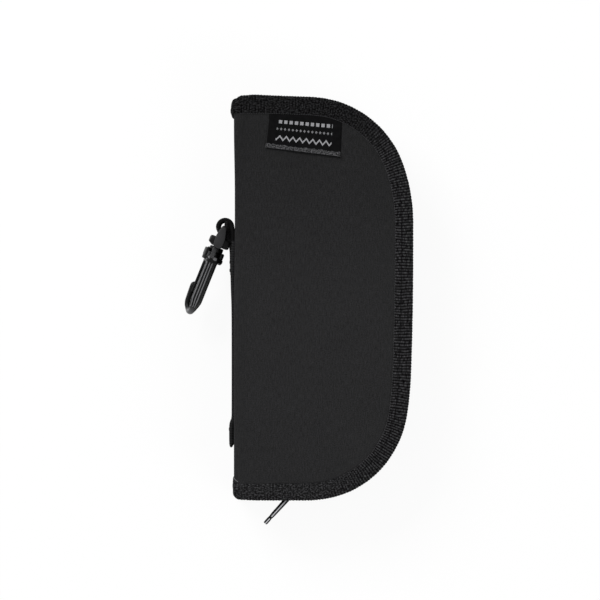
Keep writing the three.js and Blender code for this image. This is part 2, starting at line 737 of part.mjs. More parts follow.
function addSlider() {
  const parent = sliderGroup();
  const outerPlate = sliderPlate(OUTER_PLATE_INSET - SLIDER_PLATE, OUTER_PLATE_INSET);
  const innerPlate = sliderPlate(INNER_PLATE_INSET, INNER_PLATE_INSET + SLIDER_PLATE);
  const wedge = block(
    [-SLIDER_HALF + LAYER_GAP, outward(OUTER_PLATE_INSET - OVERRUN), -WEDGE_THICKNESS / 2],
    [-SLIDER_HALF + WEDGE_LENGTH, outward(INNER_PLATE_INSET + OVERRUN), WEDGE_THICKNESS / 2],
  );
  addPiece(parent, 'slider_body', join(outerPlate, innerPlate, wedge), blackMetal);
  const footY = outward(OUTER_PLATE_INSET - SLIDER_PLATE) - RUNNING_GAP;
  const earOutline = [
    ...arcPoints(PULL_PIN, EAR_RADIUS, EAR_START_DEG, EAR_END_DEG, ROUND_STEPS / 2),
    point(-SLIDER_HALF + EAR_FOOT_LENGTH, footY),
    point(-SLIDER_HALF + LAYER_GAP, footY),
  ];
  const earLow = PULL_WIDTH / 2 + RUNNING_GAP;
  const ears = [
    raise(earOutline, earLow, earLow + EAR_THICKNESS),
    raise(earOutline, -earLow - EAR_THICKNESS, -earLow),
  ];
  const pin = rodZ(PULL_PIN.x, PULL_PIN.y, PULL_PIN_RADIUS, -earLow - OVERRUN, earLow + OVERRUN);
  addPiece(parent, 'slider_bridge', join(...ears, pin), blackMetal);
}

function addPull() {
  const pullGroup = new THREE.Group();
  pullGroup.position.set(PULL_PIN.x, PULL_PIN.y, 0);
  pullGroup.rotation.z = THREE.MathUtils.degToRad(PULL_REST_DEG);
  sliderGroup().add(pullGroup);
  const half = PULL_WIDTH / 2;
  const head = rodZ(0, 0, PULL_HEAD_RADIUS, -half, half);
  const eye = rodZ(0, 0, PULL_PIN_RADIUS + RUNNING_GAP, -half - OVERRUN, half + OVERRUN);
  const endRadius = PULL_THIN_END / 2;
  const bladeTop = -PULL_PIN_RADIUS - RUNNING_GAP / 2;
  const blade = raise([
    point(PULL_THICK_END / 2, bladeTop),
    point(-PULL_THICK_END / 2, bladeTop),
    ...arcPoints(point(0, -PULL_LENGTH + endRadius), endRadius, 180, 360, ROUND_STEPS / 2),
  ], -half, half);
  addPiece(pullGroup, 'pull_tab', cut(join(head, blade), eye), blackMetal);
}

const BAND_SIDE = ELASTIC + ELASTIC_FOOT;
const LANCET_X = RIGHT_X - LANCET_EDGE_MARGIN - BAND_SIDE - LANCET_SPAN / 2;
const METER_LEFT_X = COVER_X + BAND_SPINE_MARGIN + BAND_SIDE;
const METER_RIGHT_X = LANCET_X - LANCET_SPAN / 2 - 2 * BAND_SIDE;
const VIAL_LEFT_X = COVER_X + VIAL_SPINE_MARGIN + BAND_SIDE;

const METER_BAND = {
  x: (METER_LEFT_X + METER_RIGHT_X) / 2,
  y: BAND_CENTRE_Y,
  span: METER_RIGHT_X - METER_LEFT_X,
  width: METER_BAND_WIDTH,
};
const LANCET_LOOP = { x: LANCET_X, y: BAND_CENTRE_Y, span: LANCET_SPAN, width: LANCET_WIDTH };
const VIAL_LOOP = {
  x: VIAL_LEFT_X + VIAL_SPAN / 2,
  y: -TOP_Y + VIAL_BOTTOM_RISE,
  span: VIAL_SPAN,
  width: VIAL_WIDTH,
};

// An elastic band stands up from the back lining on two sewn feet
function elasticLoop(band) {
  const inner = band.span / 2;
  const outer = inner + ELASTIC;
  const baseZ = COVER;
  const topZ = COVER + BAND_HEIGHT;
  const outline = [
    point(band.x - outer - ELASTIC_FOOT, baseZ),
    point(band.x - inner, baseZ),
    point(band.x - inner, topZ - ELASTIC),
    point(band.x + inner, topZ - ELASTIC),
    point(band.x + inner, baseZ),
    point(band.x + outer + ELASTIC_FOOT, baseZ),
    point(band.x + outer + ELASTIC_FOOT, baseZ + ELASTIC),
    point(band.x + outer, baseZ + ELASTIC),
    point(band.x + outer, topZ),
    point(band.x - outer, topZ),
    point(band.x - outer, baseZ + ELASTIC),
    point(band.x - outer - ELASTIC_FOOT, baseZ + ELASTIC),
  ];
  return carry(outline, band.y - band.width / 2, band.y + band.width / 2);
}

function addInside() {
  addPiece(meterCase, 'meter_band', elasticLoop(METER_BAND), elasticBand);
  addPiece(meterCase, 'lancet_loop', elasticLoop(LANCET_LOOP), elasticBand);
  addPiece(meterCase, 'vial_loop', elasticLoop(VIAL_LOOP), elasticBand);
  addPocket();
}

const POCKET_TOP_Y = TOP_Y - POCKET_TOP_DROP;

// The mesh pocket is a shallow bag sewn to the front lining on three sides, open at its top edge
function addPocket() {
  const liningZ = CASE_THICKNESS - COVER;
  const leftX = COVER_X + POCKET_SEAM;
  const keep = block(
    [leftX, -TOP_Y, liningZ - 2 * POCKET_DEPTH],
    [RIGHT_X, POCKET_TOP_Y, liningZ + POCKET_DEPTH],
  );
  const keepBag = block(
    [leftX + POCKET_SEAM, -TOP_Y, liningZ - 2 * POCKET_DEPTH],
    [RIGHT_X, TOP_Y, liningZ + POCKET_DEPTH],
  );
  const cloth = common(plate(POCKET_INSET, liningZ - POCKET_DEPTH, liningZ), keep);
  const bagLowZ = liningZ - POCKET_DEPTH + POCKET_WALL;
  const bag = common(plate(POCKET_INSET + POCKET_SEAM, bagLowZ, liningZ + OVERRUN), keepBag);
  addPiece(meterCase, 'mesh_pocket', cut(cloth, bag), meshNet);
  const edgeTopY = POCKET_TOP_Y + POCKET_EDGE_WIDTH;
  addPiece(meterCase, 'pocket_edge', block(
    [leftX, POCKET_TOP_Y + LAYER_GAP, liningZ - POCKET_EDGE_THICKNESS],
    [pocketRightX(edgeTopY), edgeTopY, liningZ],
  ), elasticBand);
}

// How far right the pocket's outline reaches at a height on the top corner's arc
function pocketRightX(y) {
  const arc = ARCS.find((turn) => turn.radius === TOP_CORNER_RADIUS);
  const radius = arc.radius - POCKET_INSET;
  return arc.centre.x + Math.sqrt(radius * radius - (y - arc.centre.y) ** 2);
}

// The label lies on the front fabric and ends at the inner edge of the binding that traps it
function addLabel() {
  const tilt = THREE.MathUtils.degToRad(LABEL_TILT_DEG);
  const across = point(Math.cos(tilt), Math.sin(tilt)).multiplyScalar(LABEL_WIDTH);
  const up = point(-Math.sin(tilt), Math.cos(tilt)).multiplyScalar(LABEL_LENGTH);
  const low = point(SPINE_X + LABEL_SPINE_MARGIN, TOP_Y - LABEL_DROP);
  const lowRight = low.clone().add(across);
  const topZ = CASE_THICKNESS + LABEL;
  const cloth = raise([low, lowRight, lowRight.clone().add(up), low.clone().add(up)], CASE_THICKNESS, topZ);
  const panel = plate(BINDING_WIDTH + LAYER_GAP, CASE_THICKNESS - LABEL, topZ + LABEL);
  addPiece(meterCase, 'woven_label', common(cloth, panel), satin);
}

addCover(BACK, 'back', 0);
addCover(FRONT, 'front', 1);
addZipStops();
addSpine();
addStrap();
addLoop();
addBartacks();
addHookEye();
addHookBody();
addHookGate();
addSlider();
addPull();
addInside();
addLabel();

export default meterCase;
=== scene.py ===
# %% [markdown]
# # A soft zip-around case for a glucose meter
#
# The case is a small cloth book. Two padded covers are joined by a spine, and a zip closes the
# other three sides. Grosgrain tape binds every edge, webbing runs down the spine, and a snap hook
# hangs from it. This lesson dresses the plain solids of that book: cloth, tape, thread, zip coil,
# moulded plastic and metal, one piece at a time.
#
# The first step loads the solids. They are the frame: each new piece is laid over the solid that
# it stands for. A piece that lies on one body rides on it; a piece that crosses a fold rides on no
# body here. All the modelling is done in millimetres.

# %% Load the frame
from bisect import bisect_right
from functools import lru_cache
import json
import math

import bmesh
import bpy
from mathutils import Matrix, Vector, noise


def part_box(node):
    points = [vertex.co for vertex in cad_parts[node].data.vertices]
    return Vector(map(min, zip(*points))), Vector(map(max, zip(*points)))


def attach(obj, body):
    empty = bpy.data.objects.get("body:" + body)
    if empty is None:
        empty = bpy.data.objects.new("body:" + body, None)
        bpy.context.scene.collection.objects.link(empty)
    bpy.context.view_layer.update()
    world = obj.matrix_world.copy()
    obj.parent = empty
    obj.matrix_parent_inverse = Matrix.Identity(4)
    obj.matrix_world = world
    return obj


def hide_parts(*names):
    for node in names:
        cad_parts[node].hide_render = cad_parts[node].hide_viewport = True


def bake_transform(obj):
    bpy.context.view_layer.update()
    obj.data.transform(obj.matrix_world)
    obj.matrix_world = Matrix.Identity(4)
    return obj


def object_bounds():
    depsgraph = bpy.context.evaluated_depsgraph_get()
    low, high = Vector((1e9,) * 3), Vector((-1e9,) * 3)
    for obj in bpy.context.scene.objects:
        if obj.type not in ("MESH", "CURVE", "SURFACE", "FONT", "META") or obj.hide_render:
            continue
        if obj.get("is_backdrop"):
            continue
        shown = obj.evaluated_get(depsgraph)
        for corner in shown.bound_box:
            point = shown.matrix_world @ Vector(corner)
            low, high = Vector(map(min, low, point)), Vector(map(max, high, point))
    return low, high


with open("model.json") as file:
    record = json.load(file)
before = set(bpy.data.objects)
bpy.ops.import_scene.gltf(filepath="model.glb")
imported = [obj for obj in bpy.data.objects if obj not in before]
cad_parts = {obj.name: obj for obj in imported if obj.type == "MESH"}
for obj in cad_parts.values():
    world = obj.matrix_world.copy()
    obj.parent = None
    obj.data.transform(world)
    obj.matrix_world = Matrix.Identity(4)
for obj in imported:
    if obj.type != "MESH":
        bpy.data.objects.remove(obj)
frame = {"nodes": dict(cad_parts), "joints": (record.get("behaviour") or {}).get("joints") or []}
cad_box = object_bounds()
MM = 0.001


def box_in_mm(node):
    """The lowest and the highest corner of a solid, in millimetres."""
    return [Vector(corner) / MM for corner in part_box(node)]


RIGHT_X, TOP_Y, THICKNESS = box_in_mm("front_binding")[1]
MID_Z = THICKNESS / 2
SPINE_X = box_in_mm("spine_fabric")[0].x
print(f"case: {RIGHT_X - SPINE_X:.1f} x {2 * TOP_Y:.1f} x {THICKNESS:.1f} mm")

# %% [markdown]
# ## The camera
#
# The photograph looks straight down at the closed case from far away, so nothing converges. A very
# long lens a few metres up gives the same flat view. The scale of the picture, and the pixels where
# the spine's face and the middle of the case lie, place the camera.

# %% Camera
PHOTO_SIDE_PX = 600
PX_PER_MM = 2.031
SPINE_FACE_PX = 234.5
MIDDLE_LINE_PX = 297.4
CAMERA_HEIGHT = 4000


def new_object(name, data):
    """An object in the scene that holds a mesh, a lens or a lamp."""
    made = bpy.data.objects.new(name, data)
    bpy.context.scene.collection.objects.link(made)
    return made


view_width = PHOTO_SIDE_PX / PX_PER_MM
camera_x = SPINE_X + (PHOTO_SIDE_PX / 2 - SPINE_FACE_PX) / PX_PER_MM
camera_y = (MIDDLE_LINE_PX - PHOTO_SIDE_PX / 2) / PX_PER_MM
lens = bpy.data.cameras.new("camera")
lens.lens = lens.sensor_width * CAMERA_HEIGHT / view_width
lens.clip_end = 3 * CAMERA_HEIGHT * MM
camera = new_object("camera", lens)
camera.location = Vector((camera_x, camera_y, THICKNESS + CAMERA_HEIGHT)) * MM
bpy.context.scene.camera = camera
print(f"camera: {lens.lens:.0f} mm lens over ({camera_x:.1f}, {camera_y:.1f}) mm")

# %% [markdown]
# ## Sums on sockets
#
# A woven surface is a sum: sines for the threads, noise for the wear. Written as nodes by hand such
# sums are hard to read, so one small class wraps a socket and lets Python's own operators add the
# Math nodes. A second class holds a tree of nodes, with the one method that adds every other kind
# of node, and a third makes such a tree a material.

# %% Sums as Math nodes
def operator(operation):
    """One of Python's operators, as a Math node."""
    return lambda value, *others: value.math(operation, *others)


class Value:
    """A number that changes over the surface; an expression on it adds its Math nodes."""

    def __init__(self, nodes, socket):
        self.nodes = nodes
        self.socket = socket

    def output(self, name):
        """Another output of the same node."""
        return Value(self.nodes, self.socket.node.outputs[name])

    def math(self, operation, *others, clamp=False):
        """A Math node on this value and others."""
        sockets = dict(enumerate((self, *others)))
        return self.nodes.node("ShaderNodeMath", sockets, operation=operation, use_clamp=clamp)

    def clamped(self):
        """This value, kept between 0 and 1."""
        return self.math("MULTIPLY", 1.0, clamp=True)

    __add__ = __radd__ = operator("ADD")
    __sub__ = operator("SUBTRACT")
    __mul__ = __rmul__ = operator("MULTIPLY")
    __truediv__ = operator("DIVIDE")
    __pow__ = operator("POWER")
    __gt__ = operator("GREATER_THAN")
    __lt__ = operator("LESS_THAN")
    __abs__ = operator("ABSOLUTE")

    def __rsub__(self, other):
        return self * -1 + other


print("a socket can now be added, scaled, compared and raised to a power")

# %% Trees and materials
BLUE_LEAN = 1.04


def grey(shade):
    """A grey that leans a touch to blue, as black dye does."""
    return (shade, shade, shade * BLUE_LEAN, 1.0)


class Nodes:
    """A tree of nodes."""

    def __init__(self, tree):
        self.tree = tree

    def node(self, kind, sockets=None, out=0, **settings):
        """Adds a node, sets it up, feeds its sockets with numbers or links, and gives one output."""
        node = self.tree.nodes.new(kind)
        for key, setting in settings.items():
            setattr(node, key, setting)
        for key, fed in (sockets or {}).items():
            self.feed(node.inputs[key], fed)
        return Value(self, node.outputs[out])

    def given(self, name):
        """The first output of a node that is in the tree from the start."""
        return Value(self, self.tree.nodes[name].outputs[0])

    def feed(self, socket, fed):
        """A link for a value, or a plain number or colour for anything else."""
        if isinstance(fed, Value):
            self.tree.links.new(fed.socket, socket)
        else:
            socket.default_value = fed


class Finish(Nodes):
    """A material: a Principled shader with constants on its sockets, and the nodes that feed it."""

    def __init__(self, name, **constants):
        self.material = bpy.data.materials.new(name)
        self.material.use_nodes = True
        super().__init__(self.material.node_tree)
        self.wear(**constants)

    def wear(self, **sockets):
        """Feeds the shader's own sockets."""
        for key, fed in sockets.items():
            self.feed(self.tree.nodes["Principled BSDF"].inputs[key.replace("_", " ")], fed)
        return self.material

    def cloth(self):
        """Millimetres along and across the cloth, from the piece's own map."""
        flat = self.node("ShaderNodeUVMap", uv_map="cloth")
        along = self.node("ShaderNodeSeparateXYZ", {"Vector": flat})
        return along, along.output("Y")

    def place(self):
        """The place on the object, in metres."""
        return self.node("ShaderNodeTexCoord", out="Object")

    def speckle(self, place, scale=1.0, detail=2.0):
        """Noise around one half, at a place that is a vector or two numbers."""
        if isinstance(place, tuple):
            place = self.node("ShaderNodeCombineXYZ", dict(zip("XY", place)))
        return self.node("ShaderNodeTexNoise", {"Vector": place, "Scale": scale, "Detail": detail})

    def mix(self, share, first, second):
        """A colour between two greys or colours."""
        first, second = (end if isinstance(end, Value) else grey(end) for end in (first, second))
        return self.node("ShaderNodeMix", {0: share, 6: first, 7: second}, 2, data_type="RGBA")

    def relief(self, height, depth_mm, strength=1.0):
        """Feeds a height from 0 to 1 into the shader's Normal as a bump that is depth_mm deep."""
        sockets = {"Height": height, "Distance": depth_mm * MM, "Strength": strength}
        self.wear(Normal=self.node("ShaderNodeBump", sockets))


def zigzag(value, pitch):
    """A line that falls from 1 to 0 and rises back to 1, once each pitch."""
    return abs((value / pitch).math("FRACT") * 2 - 1)


def crest(value, pitch, sharpness=3.0):
    """Ribs along a value: 1 on each crest and 0 in the narrow groove between two."""
    return 1 - zigzag(value, pitch) ** sharpness


def wave(value, pitch):
    """A smooth rise and fall from 0 to 1, once each pitch."""
    return (value * (2 * math.pi / pitch)).math("SINE") * 0.5 + 0.5


print("a grey of one half is", grey(0.5))

# %% [markdown]
# ## Plain woven cloth
#
# The covers are fine nylon: a plain weave, where each thread goes over one and under the next. Two
# sines cross, and their product's sign says which thread is on top. A picture of cloth could be
# wrapped round instead, but sums stay sharp at any size. The threads are finer than the picture's
# pixels, so what shows from a step away is the uneven dye: faint long streaks, a fine grain and slow
# clouds. The cloth is also painted a shade darker towards the top of the cover: painted shade, for
# the light that falls off there.

# %% Nylon and lining
NYLON = {"shade": 0.0138, "pitch": 0.45, "streak": 2.2, "painted_top_shade": 0.24}
LINING = {"shade": 0.012, "pitch": 0.6, "streak": 0.25, "painted_top_shade": 0.0}
STREAKS_PER_MM = (1.9, 0.3)
GRAIN_PER_MM = 2.2
CLOUDS_PER_MM = 0.05
GRAIN_TO_STREAK = 1.9
CLOUD_DEPTH = 0.35
WARP_LIGHTER = 0.16
TOP_SHADE_FROM, TOP_SHADE_RUN = 5, 75
TONE_SPREAD = (0.4, 1.6)
WEAVE_RELIEF = (0.07, 0.6)
WEAVE_ROUGHNESS = 0.76


def woven(name, shade, pitch, streak, painted_top_shade):
    """A plain woven cloth with streaks along its warp, and painted shade that darkens it towards its top.
    """
    finish = Finish(name, Specular_IOR_Level=0.1)
    along, across = finish.cloth()
    warp = (across * (math.pi / pitch)).math("SINE")
    weft = (along * (math.pi / pitch)).math("SINE")
    warp_on_top = (warp * weft) > 0
    height = warp_on_top * abs(warp) + (1 - warp_on_top) * abs(weft)
    streaks = finish.speckle((across * STREAKS_PER_MM[0], along * STREAKS_PER_MM[1]), detail=3.0)
    grain = finish.speckle((across * GRAIN_PER_MM, along * GRAIN_PER_MM))
    clouds = finish.speckle((across, along), CLOUDS_PER_MM)
    tone = 1 + (streaks - 0.5) * streak + (grain - 0.5) * streak * GRAIN_TO_STREAK
    tone = tone + (clouds - 0.5) * CLOUD_DEPTH + (warp_on_top - 0.5) * WARP_LIGHTER
    # Painted shade: the cloth is made darker towards the top of the cover.
    high = ((along - TOP_SHADE_FROM) / TOP_SHADE_RUN).clamped()
    finish.relief(height, *WEAVE_RELIEF)
    base = finish.mix(tone * 0.5 - high * painted_top_shade, *(shade * end for end in TONE_SPREAD))
    return finish.wear(Base_Color=base, Roughness=WEAVE_ROUGHNESS + height * 0.1)


nylon = woven("nylon", **NYLON)
lining = woven("lining", **LINING)
print("thread pitch of the nylon:", NYLON["pitch"], "mm")

# %% [markdown]
# ## Grosgrain, webbing and elastic
#
# Grosgrain is a ribbon with fat ribs across it. The ribs are real shapes further down, because they
# catch the light and scallop the edge; the finish adds the fine warp threads that cross each rib
# like beads, painted shade deep between two ribs, a painted shade line in the groove where the seam
# pulls them in, and a painted highlight along the selvedge. It also paints the ribbon darker near
# its top end and lighter near its foot end: painted shade and painted light. Near the ribbon's two
# ends at the spine, its crests break up into speckle. Webbing has short floats in rows, elastic has
# cords that run lengthwise, and zip tape is a herringbone.

# %% Grosgrain
RIB_PITCH = 1.42
RIB_SHARPNESS = 0.85
BEAD_PITCH = 1.15
RIB_DARK, RIB_LIGHT = 0.0008, 0.062
TOP_RUN, FOOT_RUN, END_FADE = 105, 265, 30
SEAM_ACROSS, SEAM_SHADE_REACH = 3.5, 0.6
SELVEDGE_HIGHLIGHT_WIDTH, SELVEDGE_HIGHLIGHT_PITCH = 0.36, 1.13
PATCHES_PER_MM, SPECKLE_PER_MM = (0.62, 0.95), 1.15
BEAD_SHARE, RIB_RELIEF = 0.3, (0.2, 0.8)


def grosgrain_finish():
    """Black ribbed ribbon: crests broken into beads, painted shade in its near-black grooves, and painted
    light and shade along its length.
    """
    finish = Finish("grosgrain", Roughness=0.75, Specular_IOR_Level=0.02)
    along, across = finish.cloth()
    top = ((TOP_RUN - along) / END_FADE).clamped()
    foot = ((along - FOOT_RUN) / END_FADE).clamped()
    ends = (top + foot).math("MINIMUM", 1.0)
    rib = crest(along, RIB_PITCH, RIB_SHARPNESS)
    every_other = (along / RIB_PITCH).math("FLOOR") * (0.5 * BEAD_PITCH)
    bead = wave(across + every_other, BEAD_PITCH)
    beady = BEAD_SHARE + ends * 0.6
    patches = finish.speckle((along * PATCHES_PER_MM[0], across * PATCHES_PER_MM[1]), detail=3.0)
    # The tone follows the ribs: painted shade in the grooves between them, lighter crests.
    ribbed = rib * (1 - beady + bead * beady) * (patches * 4.2 - 1.4)
    grain = finish.speckle((along * SPECKLE_PER_MM, across * SPECKLE_PER_MM))
    ribbed = ribbed * (1 - ends * 0.55) + (grain * 4.4 - 1.95) * ends * 0.42
    # Painted shade: a darker line in the groove that the seam presses in.
    seam = (1 - abs(across - SEAM_ACROSS) / SEAM_SHADE_REACH).math("MAXIMUM", 0.0) * (1 - ends)
    # Painted shade near the top end of the ribbon, and painted light near its foot end.
    shade = ribbed * (0.98 - top * 0.4 + foot * 0.3) * (1 - seam * 0.7)
    # Painted highlight along the selvedge, weaker at the foot end.
    selvedge_highlight = (across < SELVEDGE_HIGHLIGHT_WIDTH) * (0.2 + wave(along, SELVEDGE_HIGHLIGHT_PITCH) * 0.5) * (1 - foot * 0.8)
    # The floor of foot * 0.07 lifts the darkest tones at the foot end: painted light.
    shade = shade.math("MAXIMUM", foot * 0.07).math("MAXIMUM", selvedge_highlight).clamped()
    finish.relief(rib * (0.4 + bead * 0.6), *RIB_RELIEF)
    return finish.wear(Base_Color=finish.mix(shade, RIB_DARK, RIB_LIGHT))


grosgrain = grosgrain_finish()
print("rib pitch:", RIB_PITCH, "mm")

# %% Webbing, elastic and zip tape
WEBBING_ROW, FLOAT_PITCH, FLOAT_LEAN = 1.6, 1.25, 0.35
CORD_PITCH, KNIT_PITCH = 0.9, 0.55
HERRINGBONE_ROW, HERRINGBONE_PITCH, HERRINGBONE_LEAN = 3.2, 0.5, 1.6


def webbing_finish():
    """Heavy nylon webbing: rows of short floats that lean left and right in turn."""
    finish = Finish("webbing", Roughness=0.75, Specular_IOR_Level=0.08)
    along, across = finish.cloth()
    lean = ((across / WEBBING_ROW).math("FLOOR") / 2).math("FRACT") * 4 - 1
    inside = zigzag(across, WEBBING_ROW)
    floats = crest(along + inside * lean * FLOAT_LEAN, FLOAT_PITCH, 2.0)
    height = floats * (1 - inside ** 4.0)
    worn = finish.speckle((along, across), 0.6, 3.0)
    finish.relief(height, 0.25, 0.8)
    # Tone follows the floats' height: the low places between them are darker, as painted shade.
    return finish.wear(Base_Color=finish.mix(height * (worn + 0.3), 0.003, 0.027))


def threads_finish(name, pattern, depth_mm, strength, dark, light):
    """A finish that is all threads: pattern(along, across) gives their height, and their tone follows it,
    so the low places get painted shade.
    """
    finish = Finish(name, Roughness=0.85, Specular_IOR_Level=0.1)
    height = pattern(*finish.cloth())
    finish.relief(height, depth_mm, strength)
    # Painted shade: the low places between threads are darker.
    return finish.wear(Base_Color=finish.mix(height, dark, light))


def knit(along, across):
    """Fine cords lengthwise, crossed by tiny stitches."""
    return crest(across, CORD_PITCH, 2.5) * (0.7 + wave(along, KNIT_PITCH) * 0.3)


def herringbone(along, across):
    """Flat threads that lean to one side and then to the other."""
    return wave(along + zigzag(across, HERRINGBONE_ROW) * HERRINGBONE_LEAN, HERRINGBONE_PITCH)


webbing = webbing_finish()
elastic = threads_finish("elastic", knit, 0.18, 0.8, 0.004, 0.02)
zip_tape = threads_finish("zip_tape", herringbone, 0.08, 0.7, 0.006, 0.016)
print("webbing rows:", WEBBING_ROW, "mm")

# %% [markdown]
# ## Foam, thread, plastic and metal
#
# The rest of the finishes are small: cut foam with round cells, thread, the zip's coil, moulded black
# plastic with a soft gloss and faint flow marks, and dark plated metal. The hook and the pull also get
# painted highlights: lighter plastic, and on the pull bare metal, where the light catches them. These
# could be drawn by how sharp an edge is, but here they follow where the light falls. So a hook part or
# the pull has a map of its own, also named "cloth", whose second number says how strong a painted
# highlight each face gets.

# %% Foam, thread, plastic and metal
FOAM_GREY = 0.09
FLOW_DEPTH = 0.03


def foam_finish():
    """Cut foam: small round cells in a grey sheet."""
    finish = Finish("foam", Roughness=0.95, Specular_IOR_Level=0.2)
    cells = finish.node("ShaderNodeTexVoronoi", {"Vector": finish.place(), "Scale": 1800.0})
    finish.relief(cells, 0.15)
    # Painted shade: the cells' pits are darker than the sheet around them.
    return finish.wear(Base_Color=finish.mix(cells, FOAM_GREY * 0.6, FOAM_GREY * 1.2))


def plain_finish(name, dark, light, rough, scale, painted_highlights=False, bare_metal=False, **constants):
    """One stuff, whose tone and gloss noise moves a little; if asked, it is painted lighter where the map
    marks a painted highlight.
    """
    finish = Finish(name, **constants)
    marks = finish.speckle(finish.place(), scale, 4.0)
    finish.relief(marks, FLOW_DEPTH, 0.5)
    # Where asked, the map's second number drives the tone: painted highlights. Otherwise the noise gives
    # a random tone.
    share = (finish.cloth()[1] * (0.55 + marks * 0.9)).clamped() if painted_highlights else marks
    if bare_metal:
        # On the pull, the painted highlight is made as bare metal.
        finish.wear(Metallic=share)
    return finish.wear(Base_Color=finish.mix(share, dark, light), Roughness=rough - 0.1 + marks * 0.2)


foam = foam_finish()
thread = plain_finish("thread", 0.008, 0.03, 0.6, 2500.0, Specular_IOR_Level=0.3)
loose_thread = plain_finish("loose_thread", 0.06, 0.16, 0.6, 2500.0, Specular_IOR_Level=0.3)
coil = plain_finish("zip_teeth", 0.006, 0.014, 0.4, 900.0, Specular_IOR_Level=0.4)
net = plain_finish("mesh", 0.008, 0.02, 0.8, 1500.0, Specular_IOR_Level=0.2)
metal = plain_finish("black_metal", 0.03, 0.07, 0.3, 500.0, Metallic=1.0)
plastic = plain_finish("hook_plastic", 0.002, 0.13, 0.32, 260.0, painted_highlights=True, Specular_IOR_Level=0.12)
# The pull's metal, with a painted highlight of bare metal along its edge.
highlight_metal = plain_finish(
    "black_metal_painted_highlight", 0.004, 0.5, 0.42, 700.0, painted_highlights=True, bare_metal=True, Specular_IOR_Level=0.1,
)
print("materials:", len(bpy.data.materials))

# %% [markdown]
# ## Bending a grid
#
# Tape, cloth and webbing are all strips that follow some line. A modeller could extrude a profile
# along a curve, but then the weave has no coordinates to follow. Here a flat grid is made first, and
# each of its points is then put in its place on the object, as a tailor lays a flat piece round a
# form. The flat place is kept as the cloth's own map, in millimetres.
#
# A smooth line through a few chosen points serves as the route of a strap or as the section of a
# tape, and says how far along it a point lies.

# %% Small helpers and routes
def smooth(share):
    """0 below 0, 1 above 1, and an even rise between."""
    share = min(max(share, 0.0), 1.0)
    return share * share * (3 - 2 * share)


def between(first, second, share):
    """A number or vector between two others."""
    return first + (second - first) * share


def near(value, place, reach, plateau=1.2):
    """1 close to a place, falling to 0 about a reach away."""
    return smooth(plateau - abs(value - place) / reach)


def off_ends(share, steepness):
    """0 at the two ends of a strip and 1 further in."""
    return smooth(min(share, 1 - share) * steepness)


def wander(x, y, seed):
    """Slow noise around 0, as handmade things have; each piece has a seed of its own."""
    return noise.noise(Vector((x, y, seed)))


class Route:
    """A smooth line through a few points, measured along its length."""

    STEPS = 12

    def __init__(self, *points):
        knots = [Vector(point) for point in points]
        knots = [2 * knots[0] - knots[1], *knots, 2 * knots[-1] - knots[-2]]
        self.points = [knots[1]]
        for before, start, end, after in zip(knots, knots[1:], knots[2:], knots[3:]):
            for step in range(1, self.STEPS + 1):
                share = step / self.STEPS
                pull = (end - before) * share + (2 * before - 5 * start + 4 * end - after) * share ** 2
                pull += (3 * start - before - 3 * end + after) * share ** 3
                self.points.append(start + pull / 2)
        self.marks = [0.0]
        for start, end in zip(self.points, self.points[1:]):
            self.marks.append(self.marks[-1] + (end - start).length)
        self.length = self.marks[-1]

    @lru_cache(maxsize=None)
    def at(self, share):
        """The point and the direction at a share of the length."""
        place = min(max(share, 0.0), 1.0) * self.length
        span = min(max(bisect_right(self.marks, place) - 1, 0), len(self.points) - 2)
        start, end = self.points[span], self.points[span + 1]
        run = self.marks[span + 1] - self.marks[span]
        return between(start, end, (place - self.marks[span]) / run), (end - start) / run


print("a route through three points:", round(Route((0, 0), (1, 0), (1, 1)).length, 3))

# %% Grids, tubes and pieces
def bent_grid(columns, rows, place, flip=False):
    """A grid whose points are placed by place(s, t), which gives a point and its flat place."""
    bm = bmesh.new()
    bmesh.ops.create_grid(bm, x_segments=columns, y_segments=rows, size=0.5)
    cloth = bm.loops.layers.uv.new("cloth")
    flat = {}
    for vert in bm.verts:
        vert.co, flat[vert] = place(vert.co.x + 0.5, vert.co.y + 0.5)
    for face in bm.faces:
        for loop in face.loops:
            loop[cloth].uv = flat[loop.vert]
    if flip:
        bmesh.ops.reverse_faces(bm, faces=bm.faces)
    return bm


def bent_tube(columns, rows, place, gap=0.001):
    """A bent grid whose long edges meet, joined there and closed at its two ends."""
    bm = bent_grid(columns, rows, place)
    bmesh.ops.remove_doubles(bm, verts=bm.verts, dist=gap)
    bmesh.ops.holes_fill(bm, edges=bm.edges)
    bmesh.ops.recalc_face_normals(bm, faces=bm.faces)
    return bm


def merge_into(bm, other):
    """Adds one bmesh to another."""
    mesh = bpy.data.meshes.new("merge")
    other.to_mesh(mesh)
    other.free()
    bm.from_mesh(mesh)
    bpy.data.meshes.remove(mesh)


def add_piece(name, bm, finish, body=None, instead_of=(), at=None, wall=0.0, sharp_deg=None):
    """A bmesh in millimetres becomes an object of the case, in metres, and replaces its solids."""
    if at is not None:
        bmesh.ops.transform(bm, matrix=at, verts=bm.verts)
    bmesh.ops.scale(bm, vec=Vector((MM, MM, MM)), verts=bm.verts)
    mesh = bpy.data.meshes.new(name)
    bm.to_mesh(mesh)
    bm.free()
    mesh.shade_smooth()
    if sharp_deg is not None:
        mesh.set_sharp_from_angle(angle=math.radians(sharp_deg))
    mesh.materials.append(finish)
    piece = new_object(name, mesh)
    if wall:
        shell = piece.modifiers.new("wall", "SOLIDIFY")
        shell.thickness = wall * MM
        shell.offset = -1
    if body:
        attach(piece, body)
    if instead_of:
        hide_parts(*instead_of)
    print(f"{name}: {len(mesh.polygons)} faces")
    return piece


def declare_sheet(piece, flat):
    """Prints the flat size of the sheet that a piece is cut from, in mm."""
    print(f"{piece.name}: cut from {flat[0]:.1f} x {flat[1]:.1f} mm")


def cut_area(bm):
    """The area of a sheet before it gets its wall, in square millimetres."""
    return sum(face.calc_area() for face in bm.faces)


